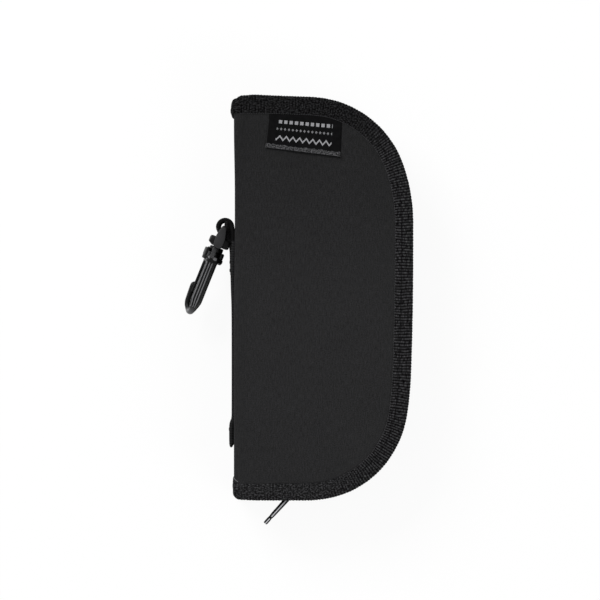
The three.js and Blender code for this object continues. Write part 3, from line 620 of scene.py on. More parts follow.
# %% [markdown]
# ## The edge of the covers
#
# Everything on a cover follows its edge, so the edge is described once. A curve drawn by eye would
# do, but its offsets for tape and zip would not stay parallel. So it is a chain of arcs: a slight
# crown along the top, a wide corner and shoulder, a side that leans in towards the bottom, and a
# round bottom corner. At the spine the same edge turns over the fold and runs on across the end of
# the spine, because the real tape does.

# %% The outline as arcs
CROWN_DEG, CORNER_DEG, LEAN_DEG, HIP_DEG = 4.5, 65.5, 2.2, 7
CORNER_RADIUS, SHOULDER_RADIUS, HIP_RADIUS, BOTTOM_RADIUS = 49.4, 86, 165, 49.6
COVER_X = box_in_mm("front_cover_fabric")[0].x
COVER_THICKNESS = THICKNESS - box_in_mm("front_cover_lining")[0].z
QUARTER = math.pi / 2


def direction(angle):
    """The way that an angle points."""
    return Vector((math.cos(angle), math.sin(angle)))


def outline_arcs():
    """Each arc's centre, radius, first and last angle, clockwise from the top of the spine.

    The first arc's radius follows from the case's width, and the long side's from its height.
    """
    crown, corner = math.radians(CROWN_DEG), math.radians(CROWN_DEG + CORNER_DEG)
    lean, hip = math.radians(LEAN_DEG), math.radians(LEAN_DEG + HIP_DEG)
    angles = (QUARTER, QUARTER - crown, QUARTER - corner, 0.0, -lean, -hip, -QUARTER)
    radii = [0, CORNER_RADIUS, SHOULDER_RADIUS, 0, HIP_RADIUS, BOTTOM_RADIUS]
    across = [math.cos(last) - math.cos(first) for first, last in zip(angles, angles[1:])]
    down = [math.sin(first) - math.sin(last) for first, last in zip(angles, angles[1:])]
    known = sum(radius * run for radius, run in zip(radii, across[:3]))
    radii[0] = (RIGHT_X - COVER_X - known) / across[0]
    known = sum(radius * run for radius, run in zip(radii, down))
    radii[3] = (2 * TOP_Y - known) / down[3]
    arcs = []
    joint = Vector((COVER_X, TOP_Y))
    for radius, first, last in zip(radii, angles, angles[1:]):
        centre = joint - direction(first) * radius
        joint = centre + direction(last) * radius
        arcs.append((centre, radius, first, last))
    return arcs


ARCS = outline_arcs()
BOTTOM_X = ARCS[-1][0].x


def along_outline(length, inset=0.0):
    """The point of the outline and its outward direction, a length along it, measured at an inset."""
    for centre, radius, first, last in ARCS:
        run = (radius - inset) * (first - last)
        if length <= run:
            outward = direction(first - length / (radius - inset))
            return centre + outward * radius, outward
        length -= run
    return Vector((BOTTOM_X - length, -TOP_Y)), Vector((0, -1))


def outline_length(inset=0.0):
    """The length of the outline, measured at an inset."""
    arcs = sum((radius - inset) * (first - last) for _, radius, first, last in ARCS)
    return arcs + BOTTOM_X - COVER_X


def right_x(y, inset):
    """How far right the outline reaches at a height, at an inset."""
    for centre, radius, _, last in ARCS:
        if y >= centre.y + (radius - inset) * math.sin(last) - 1e-6:
            return centre.x + math.sqrt(max((radius - inset) ** 2 - (y - centre.y) ** 2, 0.0))
    return BOTTOM_X


print(f"edge of a cover: {outline_length():.1f} mm round, widest at x = {right_x(20, 0):.1f}")

# %% The edge with its two folds
FOLD_RADIUS = COVER_THICKNESS / 2
FOLD_X = SPINE_X + FOLD_RADIUS
FOLD_Z = THICKNESS - FOLD_RADIUS
SPINE_RUN = FOLD_Z - MID_Z
FOLD_RUN = FOLD_RADIUS * QUARTER
FACE_START = SPINE_RUN + FOLD_RUN
# The lead is the way from mid spine, over the fold, to where the outline of the cover starts.
LEAD = FACE_START + COVER_X - FOLD_X
RIM_LENGTH = 2 * LEAD + outline_length()


@lru_cache(maxsize=None)
def rim(length):
    """Point, outward direction and face direction of the front edge, from mid spine to mid spine."""
    end = 1
    if length > RIM_LENGTH / 2 and length > RIM_LENGTH - LEAD:
        length = RIM_LENGTH - length
        end = -1
    outward = Vector((0, end, 0))
    if length < SPINE_RUN:
        return Vector((SPINE_X, end * TOP_Y, MID_Z + length)), outward, Vector((-1, 0, 0))
    if length < FACE_START:
        angle = (length - SPINE_RUN) / FOLD_RADIUS
        face = Vector((-math.cos(angle), 0, math.sin(angle)))
        return Vector((FOLD_X, end * TOP_Y, FOLD_Z)) + face * FOLD_RADIUS, outward, face
    face = Vector((0, 0, 1))
    if length < LEAD:
        return Vector((FOLD_X + length - FACE_START, end * TOP_Y, THICKNESS)), outward, face
    flat, outward = along_outline(length - LEAD)
    return Vector((*flat, THICKNESS)), Vector((*outward, 0)), face


def from_spine(length):
    """How far a place on the rim is from the nearer end, in the middle of the spine."""
    return min(length, RIM_LENGTH - length)


def at_fold(length, reach):
    """1 at the fold, falling to 0 a reach away."""
    return near(from_spine(length), SPINE_RUN + FOLD_RUN / 2, reach)


print(f"rim: {RIM_LENGTH:.1f} mm, of which {2 * LEAD:.1f} mm cross the spine and its folds")

# %% [markdown]
# ## Front and back
#
# The two halves are mirror images, so each piece is laid on the front and mirrored for the back. A
# piece that crosses a fold is kept whole, and rides on no body here. Split at the fold, it would tear.

# %% Front and back
SIDES = ((1, "front"), (-1, "back"))


def to_side(side, bm):
    """The front half as it is, or mirrored in the middle plane to be the back half."""
    if side < 0:
        bmesh.ops.scale(bm, vec=Vector((1, 1, -1)), verts=bm.verts)
        bmesh.ops.translate(bm, vec=Vector((0, 0, THICKNESS)), verts=bm.verts)
        bmesh.ops.reverse_faces(bm, faces=bm.faces)
    return bm


def bend_at_fold(piece):
    """Bakes the piece's place into its mesh."""
    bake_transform(piece)


print("a fold's radius:", round(FOLD_RADIUS, 1), "mm")

# %% [markdown]
# ## The cover cloth
#
# One piece of laminated nylon wraps each half: it starts in the middle of the spine, turns over the
# fold and covers the whole D. A flat extrusion would look like card, so the cloth rises a little
# towards the middle of the cover and has slow waves. It swells over the fold, where its foam is
# squeezed, but lies almost flat behind the hook, where the webbing draws it in. The grid's rows
# crowd together at the two ends, where the outline turns.

# %% Cover cloth
CLOTH_INSET, SPINE_CLOTH_INSET, TURN_STEEPNESS = 1.4, 3.6, 14
CLOTH_WALL = 0.35
CLOTH_DEPTH = 0.25
CLOTH_CROWN = 0.3
WAVE_HEIGHT = 0.22
FOLD_SWELL, SWELL_REACH = 0.65, 4
FLAT_SWELL, FLAT_Y, FLAT_REACH = 0.15, 41, 34
CLOTH_ROWS = 132
SPINE_COLUMNS, FACE_COLUMNS = 24, 50


def cloth_row(s, t, turn, inset):
    """The height of a row of cloth, drawn in over the spine; rows crowd together at both ends."""
    half_height = TOP_Y - between(SPINE_CLOTH_INSET, inset, smooth((s - turn) * TURN_STEEPNESS))
    return -half_height * math.cos(math.pi * t)


def cover_cloth_place(s, t):
    """A point of the front cloth: s from mid spine to the round edge, t from bottom to top."""
    turn = SPINE_COLUMNS / (SPINE_COLUMNS + FACE_COLUMNS)
    y = cloth_row(s, t, turn, CLOTH_INSET)
    if s <= turn + 1e-6:
        run = FACE_START * min(s / turn, 1.0)
        point, _, face = rim(run)
        from_fold = abs(FACE_START - run - FOLD_RUN / 2)
        dome = 0.0
    else:
        span = (s - turn) / (1 - turn)
        from_fold = (right_x(y, CLOTH_INSET) - FOLD_X) * span
        run = FACE_START + from_fold
        point, face = Vector((FOLD_X + from_fold, 0, THICKNESS)), Vector((0, 0, 1))
        dome = (1 - (2 * span - 1) ** 4) * (1 - (y / TOP_Y) ** 6)
    swell = between(FOLD_SWELL, FLAT_SWELL, near(y, FLAT_Y, FLAT_REACH, 1.3))
    swell *= near(from_fold, 0, SWELL_REACH, 1.15)
    waves = wander(from_fold * 0.03, y * 0.025, 3.0) * WAVE_HEIGHT * dome
    depth = CLOTH_DEPTH - swell - CLOTH_CROWN * dome - waves
    return Vector((point.x, y, point.z)) - face * depth, (y, run)


for side, name in SIDES:
    bm = bent_grid(SPINE_COLUMNS + FACE_COLUMNS, CLOTH_ROWS, cover_cloth_place)
    area = cut_area(bm)
    solids = (f"{name}_cover_fabric", "spine_fabric")
    cover = add_piece(
        f"{name}_cover_cloth", to_side(side, bm), nylon, instead_of=solids, wall=CLOTH_WALL,
    )
    flat = (FACE_START + RIGHT_X - FOLD_X, 2 * (TOP_Y - CLOTH_INSET))
    declare_sheet(cover, flat)
    bend_at_fold(cover)

# %% [markdown]
# ## The binding
#
# Grosgrain tape is folded over the edge and sewn through. Its section is a hook: a wide outer leg,
# a round turn over the edge and a short inner leg. On the spine's ends the tape bulges, because the
# corner is too tight for it. Sewn tape also wanders: its outer leg changes width on its way, its
# edge stands out or in at a few places, and it is eased round the corners at the spine.
#
# The ribs are part of the shape and not only a bump, because they show in the outline. The surface
# is pushed out along its own direction, a little unevenly, and pressed in along the stitches.

# %% Sections of the tape: inset and depth from the outer leg to the inner one
COVER_SECTION = Route(
    (9.1, 0.06), (8.85, -0.14), (7.4, -0.14), (5.4, -0.1), (3.0, -0.12), (1.25, 0.12),
    (0.25, 1.05), (0.1, 2.35), (0.25, 3.65), (1.3, 4.6), (3.0, 4.72), (4.8, 4.72),
)
TOP_SPINE_SECTION = Route(
    (9.1, 0.1), (9.0, -0.5), (8.4, -0.95), (7.0, -1.25), (5.0, -1.05), (3.4, -0.6),
    (2.5, 0.15), (2.1, 1.1), (1.9, 2.3), (1.9, 3.3), (2.4, 4.0), (3.4, 4.1), (4.8, 4.1),
)
LOW_SPINE_SECTION = Route(
    (9.1, 0.15), (9.0, -0.35), (8.4, -0.5), (6.4, -0.5), (4.0, -0.48), (2.6, -0.2),
    (1.4, 0.65), (0.8, 1.7), (0.7, 2.6), (0.9, 3.4), (1.7, 4.0), (3.2, 4.1), (4.8, 4.1),
)
TAPE_WIDTH = COVER_SECTION.length
print(f"tape: {TAPE_WIDTH:.1f} mm wide")

# %% How the tape wanders
FOLD_DEPTH = 1.25
BINDING_SWELL = (0.4, 0.12)
TOP_LEG, LOW_LEG, SPINE_LEG = 0.5, -1.1, 2.2
CORNER_EASE = (0.55, 0.3)
UNEVEN = ((38, 14, 0.28), (225, 72, -0.33), (276, 22, -0.3))


def tape_section(length, share):
    """Inset and depth of the tape's outer face, and its direction there, at a place on the rim."""
    round_share = length / RIM_LENGTH
    weight = smooth((LEAD + 0.2 - from_spine(length)) / 4)
    on_cover, cover_way = COVER_SECTION.at(share)
    on_end, end_way = (TOP_SPINE_SECTION if round_share < 0.5 else LOW_SPINE_SECTION).at(share)
    inset, depth = between(on_cover, on_end, weight)
    outer_leg = smooth((inset - 4) / 4) * smooth(1 - depth)
    change = between(TOP_LEG * smooth(1.3 - length / 45), LOW_LEG, round_share ** 3)
    inset += change * (1 - weight) * outer_leg
    inset += SPINE_LEG * smooth((SPINE_RUN + 1.2 - from_spine(length)) / 2.0) * outer_leg
    drift = sum(height * near(length, middle, reach) for middle, reach, height in UNEVEN)
    corner = (1 - weight) * smooth((LEAD + 8 - from_spine(length)) / 9)
    inset += (drift + between(*CORNER_EASE, round_share) * corner) * smooth((5 - inset) / 4)
    depth = between(depth, min(depth, FOLD_DEPTH), at_fold(length, 4.5))
    swell = between(*BINDING_SWELL, smooth(round_share))
    depth -= swell * at_fold(length, 4.0) * smooth((FOLD_DEPTH - depth) / FOLD_DEPTH)
    way = between(cover_way, end_way, weight).normalized()
    return inset, depth, Vector((way.y, -way.x))


def tape_point(length, share, lift):
    """A point on the tape, lifted off its face."""
    point, outward, face = rim(length)
    inset, depth, way = tape_section(length, share)
    return point - outward * (inset + way.x * lift) - face * (depth + way.y * lift)


print("the tape stands proud or shy at", [middle for middle, _, _ in UNEVEN], "mm round the rim")

# %% Binding tape
RIBS = round(RIM_LENGTH / RIB_PITCH)
RIB_STEPS = 6
TAPE_COLUMNS = 22
RIB_HEIGHT, RIB_SKEW = 0.24, 0.5
SEAM_DEPTH, SEAM_HALF_WIDTH = 0.2, 0.65
BINDING_WALL = 0.3


def binding_place(s, t):
    """A point of the ribbed tape: s along the rim, t across the tape from its outer leg."""
    length = s * RIM_LENGTH
    across = t * TAPE_WIDTH
    skew = RIB_SKEW * wander(length * 0.11, across * 0.16, 7.0)
    rib = 1 - abs(2 * (((length + skew) / RIB_PITCH) % 1.0) - 1) ** 3
    edge = smooth(min(across, TAPE_WIDTH - across) / 0.7)
    seam = math.exp(-(((across - SEAM_ACROSS) / SEAM_HALF_WIDTH) ** 2))
    uneven = 0.85 + 0.5 * wander(length * 0.7, across * 0.25, 1.0)
    lift = RIB_HEIGHT * rib * uneven * (0.35 + 0.65 * edge) * (1 - 0.6 * seam) - SEAM_DEPTH * seam
    return tape_point(length, t, lift), (length + skew, across)


for side, name in SIDES:
    bm = to_side(side, bent_grid(RIBS * RIB_STEPS, TAPE_COLUMNS, binding_place, flip=True))
    solids = (f"{name}_binding", "spine_binding_top", "spine_binding_bottom")
    tape = add_piece(
        f"{name}_binding_tape", bm, grosgrain, instead_of=solids, wall=BINDING_WALL,
    )
    bend_at_fold(tape)
print("ribs:", RIBS)

# %% [markdown]
# ## The stitches in the binding
#
# A lockstitch sinks into the ribs and shows as a row of short dashes. Each one is a small stretched
# sphere of few faces, turned to lie along the edge, since there are more than a hundred of them. At
# the foot of the spine the end of the thread was never cut off, and lies over the fold.

# %% Binding stitches
STITCH_PITCH = 3.1
STITCH_SIZE = (1.25, 0.24, 0.2)
STITCH_LIFT = 0.03
SEAM_SHARE = SEAM_ACROSS / TAPE_WIDTH


def add_stitch(bm, middle, along, up, size):
    """One thread seen on the surface: a stretched sphere."""
    sideways = up.cross(along).normalized()
    up = along.cross(sideways).normalized()
    turn = Matrix((along.normalized(), sideways, up)).transposed().to_4x4()
    matrix = Matrix.Translation(middle) @ turn @ Matrix.Diagonal((*size, 1))
    bmesh.ops.create_uvsphere(bm, u_segments=6, v_segments=5, radius=1, matrix=matrix)


stitches = round(RIM_LENGTH / STITCH_PITCH)
for side, name in SIDES:
    bm = bmesh.new()
    for step in range(stitches):
        length = (step + 0.5) * RIM_LENGTH / stitches
        middle = tape_point(length, SEAM_SHARE, STITCH_LIFT)
        along = tape_point(length + 0.4, SEAM_SHARE, STITCH_LIFT) - middle
        add_stitch(bm, middle, along, along.cross(rim(length)[1]), STITCH_SIZE)
    seam = add_piece(f"{name}_binding_stitches", to_side(side, bm), thread)
    bend_at_fold(seam)
print("stitches in a seam:", stitches)

# %% Loose thread end
WIRE = 0.17
THREAD_ROUTE = Route((-44.5, -88.9), (-44.0, -89.3), (-43.2, -90.2), (-42.3, -90.7))


def loose_thread_place(s, t):
    """A point of the thread: s goes round it and t along it."""
    (x, y), way = THREAD_ROUTE.at(t)
    turn = 2 * math.pi * s
    z = THICKNESS + between(-0.35, 0.3, smooth(t * 3)) + WIRE * math.sin(turn)
    return Vector((x, y, z)) + Vector((way.y, -way.x, 0)) * WIRE * math.cos(turn), (t, s)


bm = bent_tube(6, 16, loose_thread_place)
thread_end = add_piece("front_loose_thread", bm, loose_thread)
bend_at_fold(thread_end)

# %% [markdown]
# ## The lining
#
# Inside, a plain lining covers the foam. It turns the corner between cover and spine in a small
# round, and its edge is caught under the binding's inner leg. It is laid like the outer cloth, but
# faces inwards.

# %% Lining
LINING_INSET = 1.2
LINING_WALL = 0.4
LINING_ROUND = 1.2
LINING_SAG, LINING_WAVE = 0.12, 0.3
LINING_X = SPINE_X + COVER_THICKNESS
LINING_Z = THICKNESS - COVER_THICKNESS
LINING_ROUTE = Route(
    (LINING_X, MID_Z), (LINING_X, LINING_Z - 4), (LINING_X, LINING_Z - LINING_ROUND - 0.2),
    (LINING_X + 0.35, LINING_Z - 0.35), (LINING_X + LINING_ROUND + 0.2, LINING_Z),
    (LINING_X + 3, LINING_Z),
)
ROUTE_COLUMNS, INNER_COLUMNS = 20, 34


def lining_place(s, t):
    """A point of the front lining: s from mid spine to the round edge, t from bottom to top."""
    turn = ROUTE_COLUMNS / (ROUTE_COLUMNS + INNER_COLUMNS)
    y = cloth_row(s, t, turn, LINING_INSET)
    if s <= turn + 1e-6:
        (x, z), _ = LINING_ROUTE.at(s / turn)
        return Vector((x, y, z)), (y, LINING_ROUTE.length * s / turn)
    start_x = LINING_ROUTE.points[-1].x
    span = (s - turn) / (1 - turn)
    run = (right_x(y, LINING_INSET) - start_x) * span
    dome = math.sin(math.pi * span) * (1 - (y / TOP_Y) ** 8)
    sag = (LINING_SAG + LINING_WAVE * wander(run * 0.04, y * 0.03, 9.0)) * dome
    return Vector((start_x + run, y, LINING_Z - sag)), (y, LINING_ROUTE.length + run)


for side, name in SIDES:
    bm = bent_grid(ROUTE_COLUMNS + INNER_COLUMNS, CLOTH_ROWS // 2, lining_place, flip=True)
    area = cut_area(bm)
    solids = (f"{name}_cover_lining", "spine_lining")
    inner = add_piece(
        f"{name}_lining_cloth", to_side(side, bm), lining, instead_of=solids, wall=LINING_WALL,
    )
    flat = (MID_Z - COVER_THICKNESS + RIGHT_X - LINING_X, 2 * (TOP_Y - LINING_INSET))
    declare_sheet(inner, flat)
    bend_at_fold(inner)

# %% [markdown]
# ## The zip
#
# The gusset between the covers is the zip itself. Its two tapes are caught in the bindings and stand
# up to the middle, where the coil is sewn to their edges. A coil tooth is one turn of a stiff nylon
# wire. Separate teeth could be copied along the row, but the wire is what shows: it is swept round
# as a real coil, makes its step along the row on the tape side, and crosses straight at the head,
# where the turns of the two rows lie between each other.

# %% Zip tapes
TAPE_WALL, TAPE_WANDER = 0.5, 0.12
ZIP_COLUMNS, ZIP_ROWS = 240, 14
TAPE_ROUTE = Route(
    (1.6, 4.0), (3.6, 4.02), (5.0, 4.3), (5.55, 5.4), (5.45, 8.0), (5.45, 11.0), (5.6, 13.2), (5.6, 14.3),
)


def zip_tape_place(s, t):
    """A point of the front zip tape, seen from outside the case."""
    flat, outward = along_outline(s * outline_length())
    inset, depth = TAPE_ROUTE.at(t)[0]
    at = flat - outward * (inset + TAPE_WANDER * wander(s * 22, t * 2, 5.0))
    return Vector((at.x, at.y, THICKNESS - depth)), (s * outline_length(), t * TAPE_ROUTE.length)


for side, name in SIDES:
    bm = to_side(side, bent_grid(ZIP_COLUMNS, ZIP_ROWS, zip_tape_place, flip=True))
    solids = (f"{name}_zip_tape",)
    add_piece(f"{name}_zip_cloth", bm, zip_tape, f"{name}_half", solids, wall=TAPE_WALL)
print(f"zip: {outline_length():.0f} mm long")

# %% Zip coils
COIL_PITCH = 1.6
COIL_START, COIL_END = 5.5, 21.5
COIL_INSET, COIL_DEPTH = 5.8, 14.55
COIL_HALF_ACROSS, COIL_HALF_HEIGHT = 0.72, 1.62
WIRE_RADIUS = 0.33
TURN_STEPS = 12
COIL_TURNS = int((outline_length(COIL_INSET) - COIL_START - COIL_END) / COIL_PITCH)
COIL_SHIFTS = (0.0, 0.5)


def coil_place(s, t, shift):
    """A point of the coil's wire: s counts the turns, t goes round the wire."""
    turn = s * COIL_TURNS
    angle = 2 * math.pi * turn
    whole = math.floor(turn + 0.25)
    step = smooth((turn + 0.25 - whole - 0.5) / 0.5)
    flat, outward = along_outline(COIL_START + COIL_PITCH * (whole + step + shift), COIL_INSET)
    along = Vector((outward.y, -outward.x, 0))
    across = Vector((-outward.x, -outward.y, 0))
    down = Vector((0, 0, -1))
    middle = Vector((flat.x, flat.y, THICKNESS)) + across * COIL_INSET + down * COIL_DEPTH
    out, low = across * math.cos(angle), down * math.sin(angle)
    radial = (out / COIL_HALF_ACROSS + low / COIL_HALF_HEIGHT).normalized()
    ring = radial * math.cos(2 * math.pi * t) + along * math.sin(2 * math.pi * t)
    wound = middle + out * COIL_HALF_ACROSS + low * COIL_HALF_HEIGHT
    return wound + ring * WIRE_RADIUS, (turn * 5.0, t * 2.0)


for (side, name), shift in zip(SIDES, COIL_SHIFTS):
    bm = to_side(side, bent_tube(COIL_TURNS * TURN_STEPS, 6, lambda s, t: coil_place(s, t, shift)))
    add_piece(f"{name}_zip_coil", bm, coil, f"{name}_half", (f"{name}_zip_teeth",))
print("turns in a row:", COIL_TURNS)

# %% [markdown]
# ## Webbing on the spine
#
# A strap is sewn down the spine, its lower end folded back on itself. A narrower webbing climbs from
# behind its top, makes the loop for the hook, and comes back over it, its end tucked inside. Both
# are thick, so a flat ribbon would look like paper: each follows its own route, its wall is real and
# its long edges are rounded.

# %% Strap and loop
STRAP_LOW, STRAP_HIGH = box_in_mm("spine_strap")
LOOP_LOW, LOOP_HIGH = box_in_mm("hook_loop")
LOOP_RADIUS = 4.55
LOOP_X, LOOP_Y = LOOP_LOW.x + 4.15, LOOP_HIGH.y - 4.85
STRAP_WALL, LOOP_WALL, LAYER_WALL = 2.3, 2.4, 2.3
EDGE_DROP = 0.3
WEBBING_COLUMNS = 16


def loop_point(degrees):
    """A point of the loop's outer face."""
    return Vector((LOOP_X, LOOP_Y)) + LOOP_RADIUS * direction(math.radians(degrees))


STRAP_FOLD = (
    (-44.9, 0.1), (-45.7, -0.6), (-46.45, 0.2), (-46.7, 3),
    (-46.65, 10.4), (-46.2, 12.6), (-45.65, 14.2), (-45.5, 20),
)
STRAP_ROUTE = Route(
    *((x, STRAP_LOW.y + rise) for x, rise in STRAP_FOLD),
    (-45.5, -20), (-45.6, -5), (-45.9, 4), (-46.05, 11), (-45.8, 20), (-45.4, STRAP_HIGH.y),
)
LOOP_ROUTE = Route(
    (-43.95, LOOP_Y - 8.0), (-43.8, LOOP_Y - 4.0), *(loop_point(turn) for turn in range(0, 211, 30)),
    (-51.6, LOOP_Y - 4.2), (-50.0, LOOP_Y - 6.2), (-48.2, LOOP_Y - 8.2), (-46.7, LOOP_Y - 10.6),
    (-46.4, LOOP_LOW.y + 5), (-46.2, LOOP_LOW.y),
)
LAYER_ROUTE = Route(
    (-47.4, LOOP_Y - 8.5), (-48.4, LOOP_Y - 5), (-48.75, LOOP_Y - 1), (-49.1, LOOP_Y + 1),
    (-48.75, LOOP_Y + 2.9),
)


def add_webbing(name, solids, route, rows, width, turn, wall):
    """A strip of webbing that follows a route in X and Y; turn is 1 where it heads up, facing left."""
    def place(s, t):
        (x, y), way = route.at(t)
        drop = EDGE_DROP * (1 - off_ends(s, width))
        away = Vector((-way.y, way.x, 0)) * turn
        point = Vector((x, y, MID_Z + turn * (s - 0.5) * width))
        return point - away * drop, (t * route.length, s * width)

    bm = bent_grid(WEBBING_COLUMNS, rows, place)
    add_piece(name, bm, webbing, "spine", solids, wall=wall)
    print(f"{name}: {route.length:.0f} x {width:.1f} mm")


strap_width, loop_width = STRAP_HIGH.z - STRAP_LOW.z, LOOP_HIGH.z - LOOP_LOW.z
add_webbing("strap_webbing", ("spine_strap",), STRAP_ROUTE, 90, strap_width, 1, STRAP_WALL)
add_webbing("loop_webbing", ("hook_loop",), LOOP_ROUTE, 70, loop_width, -1, LOOP_WALL)
add_webbing("loop_end_webbing", (), LAYER_ROUTE, 24, loop_width, 1, LAYER_WALL)

# %% [markdown]
# ## Bartacks
#
# A bartack locks the webbing: a short dense row of thread across it. A block with a bump would pass
# from far away, but the threads are few, so each is a stretched sphere that leans its own way.

# %% Bartacks
TACK_PITCH, TACK_LEAN = 0.5, 0.3
TACK_SIZE = (1.0, 0.27, 0.22)
TACK_FACES = {"bartack_loop_upper": -46.4, "bartack_loop_lower": -46.4, "bartack_strap_end": -46.7}

for node, face_x in TACK_FACES.items():
    low, high = box_in_mm(node)
    bm = bmesh.new()
    count = round((high.z - low.z) / TACK_PITCH)
    for step in range(count):
        z = between(low.z, high.z, (step + 0.5) / count)
        lean = TACK_LEAN * wander(z * 1.7, low.y, 2.0)
        middle = Vector((face_x, (low.y + high.y) / 2, z))
        add_stitch(bm, middle, Vector((0, 1, lean)).normalized(), Vector((-1, 0, 0)), TACK_SIZE)
    add_piece(f"{node}_thread", bm, thread, "spine", (node,))

# %% [markdown]
# ## The snap hook
#
# The hook is moulded acetal in three parts. Each part is modelled upright, with the stem along the
# vertical, and then turned into its place. The joints say where: the eye hangs from the swing joint,
# and the hook turns about the stem. Moulded parts have no sharp edge, so each block and disc is
# eased with a small bevel.

# %% Places of the moving hardware
HOOK_LEAN_DEG, HOOK_TURN_DEG, PULL_LEAN_DEG = -22, 105, -42.3
JOINTS = {joint["name"]: Vector(joint["pos_m"]) / MM for joint in frame["joints"]}


def turned(degrees, axis):
    """A turn about an axis."""
    return Matrix.Rotation(math.radians(degrees), 4, axis)


HANG = Matrix.Translation(JOINTS["hook_swing"]) @ turned(HOOK_LEAN_DEG, "Z")
TURNED = HANG @ turned(HOOK_TURN_DEG, "Y")
PULLED = Matrix.Translation(JOINTS["pull_swing"]) @ turned(PULL_LEAN_DEG, "Z")
print("the hook hangs from", [round(value, 1) for value in JOINTS["hook_swing"]])

# %% Eased blocks and bars
EASED_SHARP_DEG = 35
ROD_SEGMENTS = 36


def ease(bm, edges, width, segments=2):
    """A small bevel on some edges."""
    bmesh.ops.bevel(
        bm, geom=edges, offset=width, offset_type="OFFSET", affect="EDGES", segments=segments,
        profile=0.5, material=-1, clamp_overlap=True,
    )


def edges_of(verts):
    """The edges at some points, each once."""
    return list(dict.fromkeys(edge for vert in verts for edge in vert.link_edges))


def cut_along(bm, point, way, **kept):
    """Cuts every face that a plane crosses."""
    geom = [*bm.verts, *bm.edges, *bm.faces]
    bmesh.ops.bisect_plane(bm, geom=geom, plane_co=point, plane_no=way, **kept)


def raise_face(bm):
    """Extrudes a flat shape to a closed one, and gives the points of its new side."""
    raised = bmesh.ops.extrude_face_region(bm, geom=bm.faces[:])["geom"]
    return [item for item in raised if isinstance(item, bmesh.types.BMVert)]


def add_block(bm, low, high, width):
    """A block between two corners, with all its edges eased."""
    low, high = Vector(low), Vector(high)
    matrix = Matrix.Translation((low + high) / 2) @ Matrix.Diagonal((*(high - low), 1))
    ease(bm, edges_of(bmesh.ops.create_cube(bm, size=1, matrix=matrix)["verts"]), width)


def add_rod(bm, radius, low, high, width, axis="Y"):
    """A round bar along Y or Z, its two rims eased."""
    turn = turned(90, "X") if axis == "Y" else Matrix()
    middle = Vector([(low + high) / 2 if name == axis else 0 for name in "XYZ"])
    verts = bmesh.ops.create_cone(
        bm, cap_ends=True, segments=ROD_SEGMENTS, radius1=radius, radius2=radius, depth=high - low,
        matrix=Matrix.Translation(middle) @ turn,
    )["verts"]
    rims = [edge for edge in edges_of(verts) if any(len(face.verts) > 4 for face in edge.link_faces)]
    ease(bm, rims, width)


def paint_highlight(bm, faces, share=1.0):
    """Marks faces for a painted highlight, on the map that the finish reads."""
    layer = bm.loops.layers.uv.get("cloth") or bm.loops.layers.uv.new("cloth")
    for face in faces:
        for loop in face.loops:
            loop[layer].uv = (0.0, share)


def squared(turn, power):
    """A point of a rounded square, from a circle at power 1 towards a square as power falls."""
    cosine, sine = math.cos(turn), math.sin(turn)
    return math.copysign(abs(cosine) ** power, cosine), math.copysign(abs(sine) ** power, sine)


print("on a rounded square:", [round(value, 2) for value in squared(math.radians(30), 0.62)])

# %% [markdown]
# ## The hook's eye
#
# The eye has a bar that lies in the webbing loop, two arms, a flange and a stem. The arms are plates
# cut to one outline, wider over the flange, with a painted sheen on their outer faces that stands in
# for the light they reflect. The flange is a block with one lower corner cut off at a slant: a plane
# cuts it clean, where a bevel would round it.

# %% Hook eye
ARM_INNER_Z, ARM_OUTER_Z = 6.65, 8.85
ARM_TOP, ARM_FOOT = 0.85, -10.4
ARM_POINTS = 40
ARM_WIDTHS, ARM_MIDDLES = (1.75, 2.55), (-0.3, -0.05)
ARM_SHEEN = 0.17
BAR = (1.5, 0.6 - ARM_OUTER_Z, ARM_OUTER_Z - 0.6, 0.3)
STEM_AND_HEAD = ((1.9, -13.2, -8.4, 0.2), (3.0, -15.0, -12.6, 0.7))
FLANGE = ((-5.1, -9.5, -6.9), (5.5, -4.9, 6.9), 1.0)
SLANT_FROM, SLANT_WAY = Vector((-5.1, -8.2, 0)), Vector((-0.54, -0.84, 0))


def arm_outline(turn):
    """The edge of one arm: narrow round the bar, wider over the flange, with a blunt round foot."""
    across, along = squared(turn, 0.62)
    y = between(ARM_FOOT, ARM_TOP, (along + 1) / 2)
    widen = smooth(-y / 6)
    return across * between(*ARM_WIDTHS, widen) + between(*ARM_MIDDLES, widen), y


def add_arm(bm, side):
    """One arm of the eye: a plate with eased rims."""
    arm = bmesh.new()
    low, high = sorted((side * ARM_INNER_Z, side * ARM_OUTER_Z))
    for vert in bmesh.ops.create_circle(arm, cap_ends=True, segments=ARM_POINTS, radius=1)["verts"]:
        vert.co = Vector((*arm_outline(math.atan2(vert.co.y, vert.co.x)), low))
    bmesh.ops.translate(arm, vec=Vector((0, 0, high - low)), verts=raise_face(arm))
    rims = [edge for edge in arm.edges if any(len(face.verts) > 4 for face in edge.link_faces)]
    ease(arm, rims, 0.5)
    bmesh.ops.recalc_face_normals(arm, faces=arm.faces)
    # Painted sheen on the arm's outer face.
    paint_highlight(arm, [face for face in arm.faces if face.normal.z * side > 0.9], ARM_SHEEN)
    merge_into(bm, arm)


def add_flange(bm):
    """The flange under the arms, one of its lower corners cut off."""
    flange = bmesh.new()
    add_block(flange, *FLANGE)
    cut_along(flange, SLANT_FROM, SLANT_WAY, clear_outer=True)
    bmesh.ops.holes_fill(flange, edges=[edge for edge in flange.edges if edge.is_boundary])
    merge_into(bm, flange)


bm = bmesh.new()
add_rod(bm, *BAR, axis="Z")
for side in (-1, 1):
    add_arm(bm, side)
add_flange(bm)
for rod in STEM_AND_HEAD:
    add_rod(bm, *rod)
solids = ("hook_eye",)
add_piece("eye_moulding", bm, plastic, "eye", solids, HANG, sharp_deg=EASED_SHARP_DEG)

